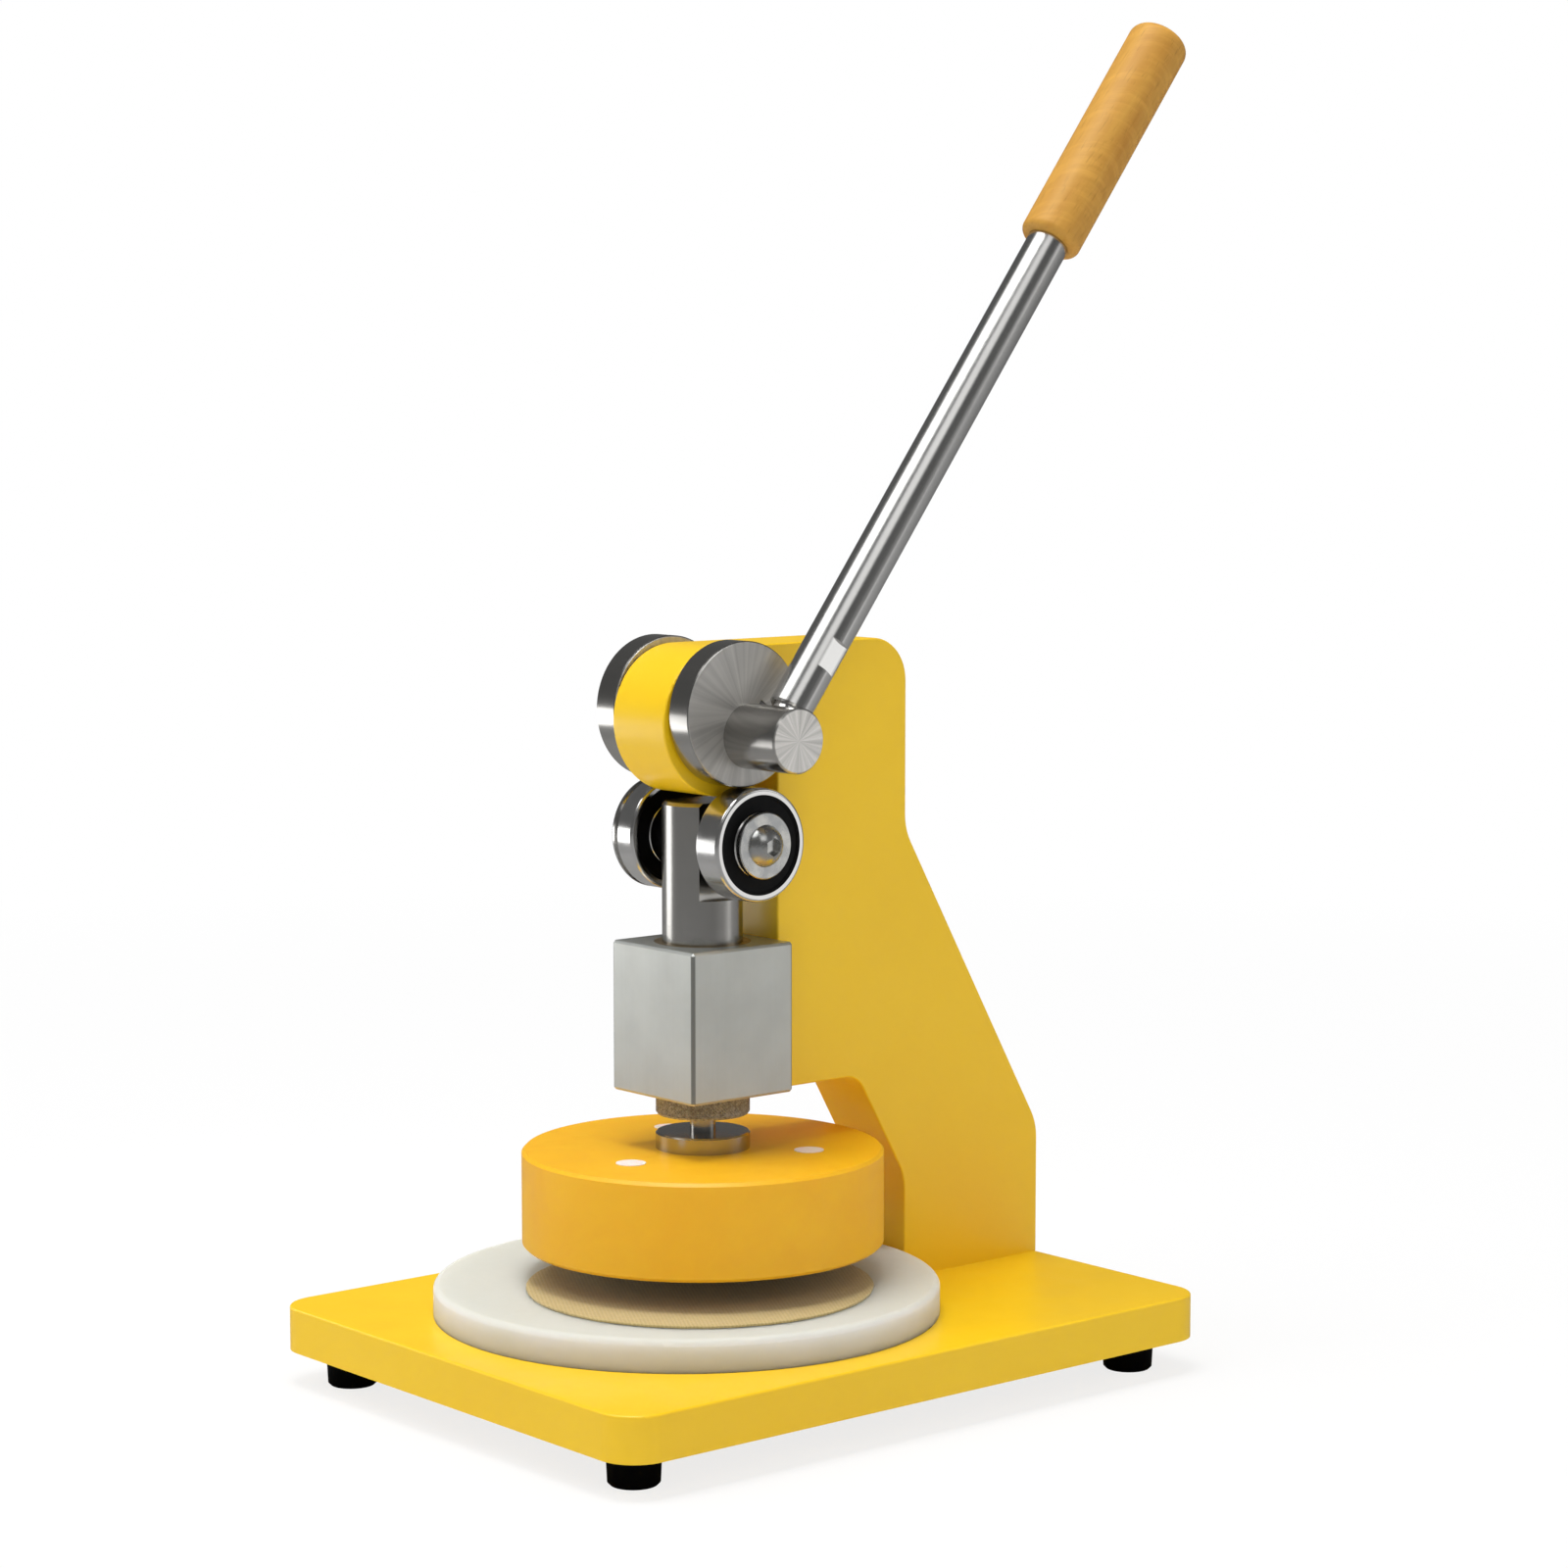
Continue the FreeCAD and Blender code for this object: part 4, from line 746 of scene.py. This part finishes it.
class PRESS_OT_oil_grip(bpy.types.Operator):
    """Gives the grip the grain, figure and flecks of oiled beech"""
    bl_idname = "badge_press.oil_grip"
    bl_label = "Oil Grip"

    def execute(self, context):
        colours = settings().wood
        centre = node_centre("handle_grip")
        grain_turn = (-colours.lean, 0.12, 0)
        figure_turn = (-colours.lean, -0.7, 0)
        wood = Finish(
            "grip_oiled_beech", IOR=1.45, Specular_IOR_Level=0.3, Coat_Weight=0.05, Coat_Roughness=0.4
        )
        along_grain = wood.spot(centre, grain_turn, stretch=(150, 150, 9))
        growth = wood.noise(along_grain, detail=5, roughness=0.6, distortion=0.6)
        flecks = wood.noise(wood.spot(centre, grain_turn, stretch=(1500, 1500, 150)))
        across_grain = wood.spot(centre, figure_turn, stretch=(60, 60, 420))
        figure = wood.noise(across_grain, detail=3, roughness=0.6)
        grained = wood.mix(wood.span(growth), colours.beech, colours.dark_beech)
        pale_share = wood.span(figure, high=0.55, start=0.45, end=0.7)
        figured = wood.mix(pale_share, grained, tint(colours.beech, 1.16))
        fleck_share = wood.span(flecks, high=0.4, start=0.6, end=0.72)
        wood.set(
            Base_Color=wood.mix(fleck_share, figured, tint(colours.dark_beech, 0.62)),
            Roughness=wood.span(growth, low=0.5, high=0.62),
        )
        wood.relief(flecks, strength=0.06, depth=0.0002)
        wood.relief(growth, strength=0.03, depth=0.0003)
        wood.dress("handle_grip")
        return {"FINISHED"}


class PRESS_OT_cast_head(bpy.types.Operator):
    """Gives the press head its clouded amber body and pale screw caps"""
    bl_idname = "badge_press.cast_head"
    bl_label = "Cast Head"

    def execute(self, context):
        colours = settings().plastic
        head = Finish(
            "head_clouded_amber", IOR=1.48, Subsurface_Weight=0.12, Subsurface_Scale=0.003,
            Subsurface_Radius=(1, 0.5, 0.15),
        )
        place = head.spot(node_centre("press_head"))
        clouds = head.noise(place, scale=46, detail=5, roughness=0.62, distortion=0.5)
        amber = head.mix(head.span(clouds), colours.amber, colours.pale_amber)
        top = node_size("press_head").z / 2
        # Painted shade: darker clouds only near the top face of the head.
        near_top = head.at_edge(head.parts(place)[2], top, start=0.0006, share=0.6)
        painted_top_shade = head.maths("MULTIPLY", head.span(clouds, start=0.5, end=0.72), near_top)
        head.set(
            Base_Color=head.mix(painted_top_shade, amber, tint(colours.amber, 0.93, 0.88, 0.8)),
            Roughness=head.span(clouds, low=0.4, high=0.5),
        )
        head.relief(clouds, strength=0.015, depth=0.0006)
        head.relief(head.noise(place, scale=420), strength=0.015)
        head.dress("press_head")

        caps = Finish("cap_pale_plastic", IOR=1.48, Subsurface_Weight=0.3, Subsurface_Scale=0.001)
        specks = caps.noise(caps.spot(), scale=700, detail=3)
        caps.mottle(specks, colours.cap, tint(colours.cap, 0.98, 0.9, 0.86), roughness=(0.45, 0.6))
        caps.relief(specks, strength=0.05)
        caps.dress("head_screw_caps")
        return {"FINISHED"}


class PRESS_OT_machine_board(bpy.types.Operator):
    """Gives the round board the cloudy depth of machined nylon"""
    bl_idname = "badge_press.machine_board"
    bl_label = "Machine Board"

    def execute(self, context):
        colours = settings().plastic
        nylon = Finish(
            "board_cloudy_nylon", IOR=1.53, Specular_IOR_Level=0.2, Subsurface_Weight=1,
            Subsurface_Scale=0.014, Subsurface_Radius=(1, 1, 1),
        )
        place = nylon.spot(node_centre("press_board"))
        clouds = nylon.span(nylon.noise(place, scale=26, detail=3), high=0.6)
        top = node_size("press_board").z / 2
        # Painted shade: the top is coloured darker than the side.
        on_top = nylon.at_edge(nylon.parts(place)[2], top, start=0.0016, full=0.0002)
        white = nylon.mix(on_top, colours.nylon, colours.shaded_top_nylon)
        warm = tint(colours.shaded_top_nylon, 1, 0.98, 0.95)
        scuffs = nylon.noise(place, scale=240, detail=4, roughness=0.65)
        nylon.set(
            Base_Color=nylon.mix(clouds, white, warm),
            Roughness=nylon.span(scuffs, low=0.5, high=0.64),
        )
        nylon.relief(scuffs, strength=0.025, depth=0.0002)
        nylon.dress("press_board")
        return {"FINISHED"}


class PRESS_OT_temper_springs(bpy.types.Operator):
    """Gives the spring, the clip and the keys a tempered finish and the spacers a black one, which also
    stands in as painted shade between each roller and the ram
    """
    bl_idname = "badge_press.temper_springs"
    bl_label = "Temper Springs"

    def execute(self, context):
        grey = settings().metal.spring
        spring = Finish("spring_tempered_steel", Metallic=1)
        place = spring.spot()
        temper = spring.noise(place, scale=90, detail=4)
        spring.mottle(temper, grey, tint(grey, 1.1, 0.98, 0.8), roughness=(0.3, 0.42))
        spring.relief(spring.noise(place, scale=1200), strength=0.05)
        spring.dress("return_spring", "nut_clip", "cam_keys")
        self.press_coil()

        # Black oxide spacers, coloured near black partly as painted shade between roller and ram.
        black = settings().metal.black_oxide_shade
        oxide = Finish("spacer_black_oxide", Metallic=1)
        wear = oxide.noise(oxide.spot(), scale=500, detail=4, roughness=0.6)
        oxide.mottle(wear, black, tint(black, 1.7), roughness=(0.34, 0.48), start=0.5, end=0.8)
        oxide.dress("roller_spacer_right", "roller_spacer_left")
        return {"FINISHED"}

    def press_coil(self):
        """Gives the return spring a mesh of its own."""
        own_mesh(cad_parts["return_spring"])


class PRESS_OT_weave_mat(bpy.types.Operator):
    """Models the round mat as a sheet of twill that lies on the board"""
    bl_idname = "badge_press.weave_mat"
    bl_label = "Weave Mat"

    def execute(self, context):
        sizes = settings().mat
        radius = sizes.diameter / 2
        step = radius / sizes.rings
        mat = start_piece(
            "press_mat_woven", bpy.ops.mesh.primitive_circle_add, vertices=sizes.sides, radius=radius,
            fill_type="NGON", location=node_foot("press_mat"),
        )
        for _ in range(sizes.rings - 1):
            bpy.ops.mesh.inset(thickness=step, depth=0)
        bpy.ops.mesh.poke()
        bpy.ops.mesh.select_all(action="SELECT")
        bpy.ops.mesh.normals_make_consistent(inside=False)
        rim = radius - step / 2
        select_in(mat, "VERT", lambda vertex: math.hypot(vertex.co.x, vertex.co.y) > rim)
        bpy.ops.transform.vertex_random(offset=sizes.fray, uniform=0, normal=0, seed=sizes.fray_seed)
        bpy.ops.object.mode_set(mode="OBJECT")
        apply_place()
        self.thicken(mat, sizes)
        finish_piece(mat, self.twill(sizes), "frame", "woven_mat", "press_mat", smooth_below=60)
        return {"FINISHED"}

    def thicken(self, mat, sizes):
        """Waves the flat sheet a little, gives it the thickness of the cloth and rounds its edge."""
        waves = bpy.data.textures.new("mat_waves", "CLOUDS")
        waves.noise_scale = sizes.wave
        lift = mat.modifiers.new("lift", "DISPLACE")
        lift.texture = waves
        lift.texture_coords = "LOCAL"
        lift.direction = "Z"
        lift.mid_level = 0
        lift.strength = sizes.lift
        cloth = mat.modifiers.new("cloth", "SOLIDIFY")
        cloth.thickness = sizes.thickness
        cloth.offset = 1
        soft = mat.modifiers.new("soft_edge", "BEVEL")
        soft.width = sizes.thickness / 4
        soft.segments = 2
        soft.limit_method = "ANGLE"
        for modifier in (lift, cloth, soft):
            bpy.ops.object.modifier_apply(modifier=modifier.name)

    def twill(self, sizes):
        """Two yarns over, two under, one yarn further along in each row."""
        centre = node_centre("press_mat")
        pitch = 1 / sizes.yarn
        cloth = Finish(
            "mat_twill", IOR=1.45, Specular_IOR_Level=0.2, Sheen_Weight=0.25, Sheen_Roughness=0.5
        )
        place = cloth.spot(centre)
        woven = cloth.spot(centre, (0, 0, sizes.turn), stretch=(pitch, pitch, pitch))
        across, along, _ = cloth.parts(woven)
        wobble = cloth.span(cloth.noise(place, scale=320), low=-0.6, high=0.6)
        across = cloth.maths("ADD", across, wobble)
        along = cloth.maths("SUBTRACT", along, wobble)
        crossing = cloth.maths("ADD", cloth.maths("FLOOR", along), cloth.maths("FLOOR", across))
        step = cloth.maths("FLOORED_MODULO", crossing, TWILL_REPEAT)
        warp_up = cloth.maths("LESS_THAN", step, TWILL_OVER - 0.5)

        def rounded(yarns):
            half_turns = cloth.maths("MULTIPLY", yarns, math.pi)
            return cloth.maths("ABSOLUTE", cloth.maths("SINE", half_turns))

        height = cloth.blend(warp_up, rounded(along), rounded(across))
        yarns = cloth.mix(warp_up, sizes.weft, sizes.warp)
        shadow = cloth.span(height, low=0.45, high=0, start=0, end=0.5)
        shaded = cloth.mix(shadow, yarns, tint(sizes.weft, 0.6))
        slubs = cloth.span(cloth.noise(place, scale=420, detail=3), high=0.5, start=0.5, end=0.75)
        cloth.set(
            Base_Color=cloth.mix(slubs, shaded, tint(sizes.warp, 1.12)),
            Roughness=cloth.span(height, low=0.92, high=0.78, start=0, end=1),
        )
        cloth.relief(height, strength=0.35, depth=0.0002)
        cloth.relief(cloth.noise(place, scale=3000), strength=0.15)
        return cloth.material


class PRESS_OT_knurl_nut(bpy.types.Operator):
    """Models the adjusting nut with a diamond knurl round it and a stepped bore"""
    bl_idname = "badge_press.knurl_nut"
    bl_label = "Knurl Nut"

    def execute(self, context):
        sizes = settings().nut
        whole = node_size("adjusting_nut")
        tall = whole.z
        tip = whole.x / 2
        root = tip - sizes.relief
        stud = sizes.stud_bore / 2
        rod = sizes.rod_bore / 2
        nut = start_piece(
            "adjusting_nut_knurled", bpy.ops.mesh.primitive_circle_add, vertices=sizes.columns,
            radius=stud, location=(0, 0, 0),
        )
        band = tall - 2 * sizes.edge
        rows = [(root, sizes.edge + band * row / sizes.rows) for row in range(sizes.rows + 1)]
        sweep_ring([
            (stud, 0), (tip - sizes.edge, 0), *rows, (tip - sizes.edge, tall),
            (rod, tall), (rod, sizes.web), (stud, sizes.web), (stud, 0),
        ])
        close_ring()
        self.cut_diamonds(nut, root, sizes)
        bpy.ops.object.mode_set(mode="OBJECT")
        nut.location = node_foot("adjusting_nut")
        finish_piece(
            nut, self.speckled_steel(), "adjusting_nut", "turned_steel", "adjusting_nut", smooth_below=25
        )
        return {"FINISHED"}

    def cut_diamonds(self, nut, root, sizes):
        """Turns the squares of the band by half a step into diamonds and raises a point on each."""
        def on_band(face):
            reach = [math.hypot(vertex.co.x, vertex.co.y) for vertex in face.verts]
            return min(reach) > root - sizes.relief / 2 and abs(face.normal.z) < NEARLY_LEVEL

        def is_square_side(edge):
            start, end = (vertex.co for vertex in edge.verts)
            level = abs(start.z - end.z) < SAME_PLACE
            upright = (start.xy - end.xy).length < SAME_PLACE
            between = all(on_band(face) and len(face.verts) == 3 for face in edge.link_faces)
            return (level or upright) and between

        select_in(nut, "FACE", on_band)
        bpy.ops.mesh.poke()
        select_in(nut, "EDGE", is_square_side)
        bpy.ops.mesh.dissolve_edges(use_verts=False)
        select_in(nut, "FACE", on_band)
        bpy.ops.mesh.poke(offset=sizes.relief)

    def speckled_steel(self):
        """Turned steel with fine random dark and pale speckles."""
        bare = settings().metal.steel
        steel, _ = turned_steel("nut_knurled_steel", metallic=0.55)
        mottle_noise = steel.noise(steel.spot(), scale=1100, detail=3, roughness=0.6)
        steel.mottle(
            mottle_noise, tint(bare, 0.6), tint(bare, 1.15), roughness=(0.5, 0.36), start=0.38, end=0.62
        )
        return steel.material


class PRESS_OT_light_stage(bpy.types.Operator):
    """Sets up the pale floor, the studio light and the camera"""
    bl_idname = "badge_press.light_stage"
    bl_label = "Light Stage"

    def execute(self, context):
        sizes = settings().stage
        context.scene.view_settings.view_transform = "Standard"
        self.lay_floor(sizes)
        self.paint_walls(sizes)
        for name, aim, power, azimuth, elevation, distance, size in (
            ("key_box", sizes.aim, sizes.key, 10, 82, 2.2, (0.85, 0.85)),
            ("front_box", sizes.aim, sizes.front, -20, 57, 4, (2.8, 1.6)),
            ("card_box", sizes.aim, sizes.card, 70, 43, 4, (1.9, 1.85)),
            ("side_box", sizes.side_aim, sizes.side, -58, 0, 0.38, (0.15, 0.11)),
            ("fill_box", sizes.aim, sizes.fill, 140, 20, 1.7, (0.9, 0.7)),
        ):
            self.hang_lamp(name, aim, power, azimuth, elevation, distance, size)
        self.stand_camera(context, sizes)
        return {"FINISHED"}

    def lay_floor(self, sizes):
        """Pale floor, white further off; what the metal mirrors of it is dim but for the backdrop."""
        floor = start_piece(
            "studio_floor", bpy.ops.mesh.primitive_plane_add, size=sizes.floor_size, location=(0, 0, 0)
        )
        bpy.ops.object.mode_set(mode="OBJECT")
        material = bpy.data.materials.new("pale_floor")
        material.use_nodes = True
        nodes = Nodes(material.node_tree)
        nodes.tree.nodes.clear()
        seen, mirrored = nodes.rays()
        place = nodes.add("TexCoord").outputs["Object"]
        away = nodes.measure("LENGTH", place)
        lit = nodes.add("BsdfDiffuse", {"Color": sizes.floor}).outputs[0]
        dim = nodes.add("BsdfDiffuse", {"Color": DIM_FLOOR}).outputs[0]
        white = nodes.add("Emission", {"Color": WHITE, "Strength": 1}).outputs[0]
        open_floor = nodes.layer(nodes.span(away, low=0.8, high=1, start=0.4, end=1.2), lit, white)
        towards = Euler((0, 0, sizes.backdrop)).to_matrix() @ Vector((0, -1, 0))
        facing = nodes.measure("DOT_PRODUCT", nodes.vector("NORMALIZE", place), towards)
        patch = nodes.span(facing, start=0.985, end=0.993)
        halo = nodes.span(facing, high=0.2, start=0.7, end=0.95)
        far = nodes.span(away, start=0.35, end=0.6)
        bright = nodes.maths("MULTIPLY", nodes.maths("MAXIMUM", patch, halo), far)
        bounced = nodes.layer(mirrored, lit, nodes.layer(bright, dim, white))
        nodes.add("OutputMaterial", {"Surface": nodes.layer(seen, bounced, open_floor)})
        floor.data.materials.append(material)

    def paint_walls(self, sizes):
        """White behind the press, grey walls in what the metal mirrors, an even light elsewhere."""
        world = bpy.data.worlds.new("studio_walls")
        bpy.context.scene.world = world
        world.use_nodes = True
        nodes = Nodes(world.node_tree)
        nodes.tree.nodes.clear()
        seen, mirrored = nodes.rays()
        look = nodes.add("TexCoord").outputs["Generated"]
        rise = nodes.span(nodes.parts(look)[2], start=-0.2, end=1)
        ramp = nodes.add("ValToRGB", {"Fac": rise})
        stops = ramp.color_ramp.elements
        for position, _ in WALL_GREYS[1:-1]:
            stops.new(position)
        for stop, (_, level) in zip(stops, WALL_GREYS):
            stop.color = (level, level, level, 1)
        white = nodes.add("Background", {"Color": WHITE, "Strength": 1}).outputs[0]
        walls = nodes.add("Background", {"Color": ramp.outputs["Color"], "Strength": 1}).outputs[0]
        even = nodes.add("Background", {"Color": WHITE, "Strength": sizes.ambient}).outputs[0]
        bounced = nodes.layer(mirrored, even, walls)
        nodes.add("OutputWorld", {"Surface": nodes.layer(seen, bounced, white)})

    def hang_lamp(self, name, aim, power, azimuth, elevation, distance, size):
        """Soft box that faces its aim, with an azimuth of 0 in front and 90 degrees at the right."""
        around = math.radians(azimuth)
        up = math.radians(elevation)
        level = math.cos(up)
        away = Vector((math.sin(around) * level, -math.cos(around) * level, math.sin(up)))
        lamp = bpy.data.lights.new(name, "AREA")
        lamp.shape = "RECTANGLE"
        lamp.size, lamp.size_y = size
        lamp.energy = power
        stand = bpy.data.objects.new(name, lamp)
        stand.location = Vector(aim) + away * distance
        stand.rotation_euler = (-away).to_track_quat("-Z", "Y").to_euler()
        bpy.context.scene.collection.objects.link(stand)

    def stand_camera(self, context, sizes):
        camera = bpy.data.cameras.new("photo_camera")
        camera.sensor_width = SENSOR_WIDTH
        camera.lens = sizes.lens
        stand = bpy.data.objects.new("photo_camera", camera)
        stand.location = sizes.camera_place
        stand.rotation_euler = (math.pi / 2 - sizes.camera_dip, 0, sizes.camera_turn)
        context.scene.collection.objects.link(stand)
        context.scene.camera = stand


STEPS = (
    PRESS_OT_paint_plates,
    PRESS_OT_mould_feet,
    PRESS_OT_plate_screws,
    PRESS_OT_cast_bushes,
    PRESS_OT_mill_block,
    PRESS_OT_turn_ram,
    PRESS_OT_face_discs,
    PRESS_OT_grind_bearings,
    PRESS_OT_mould_seals,
    PRESS_OT_polish_lever,
    PRESS_OT_oil_grip,
    PRESS_OT_cast_head,
    PRESS_OT_machine_board,
    PRESS_OT_temper_springs,
    PRESS_OT_weave_mat,
    PRESS_OT_knurl_nut,
    PRESS_OT_light_stage,
)


class PRESS_PT_sidebar(bpy.types.Panel):
    bl_idname = "PRESS_PT_sidebar"
    bl_label = "Badge Press"
    bl_space_type = "VIEW_3D"
    bl_region_type = "UI"
    bl_category = "Badge Press"

    def draw(self, context):
        column = self.layout.column(align=True)
        for step in STEPS:
            column.operator(step.bl_idname)
        press = settings()
        for group in PressSettings.__annotations__:
            box = self.layout.box()
            box.label(text=group.title())
            values = getattr(press, group)
            for name in type(values).__annotations__:
                box.prop(values, name)


CLASSES = (
    PaintSettings,
    MetalSettings,
    PlasticSettings,
    WoodSettings,
    MatSettings,
    NutSettings,
    SealSettings,
    StageSettings,
    PressSettings,
    *STEPS,
    PRESS_PT_sidebar,
)


def register():
    for item in CLASSES:
        bpy.utils.register_class(item)
    bpy.types.Scene.badge_press = PointerProperty(type=PressSettings)


def unregister():
    del bpy.types.Scene.badge_press
    for item in reversed(CLASSES):
        bpy.utils.unregister_class(item)


def main():
    register()
    for step in STEPS:
        family, name = step.bl_idname.split(".")
        getattr(getattr(bpy.ops, family), name)()


if __name__ == "__main__":
    main()
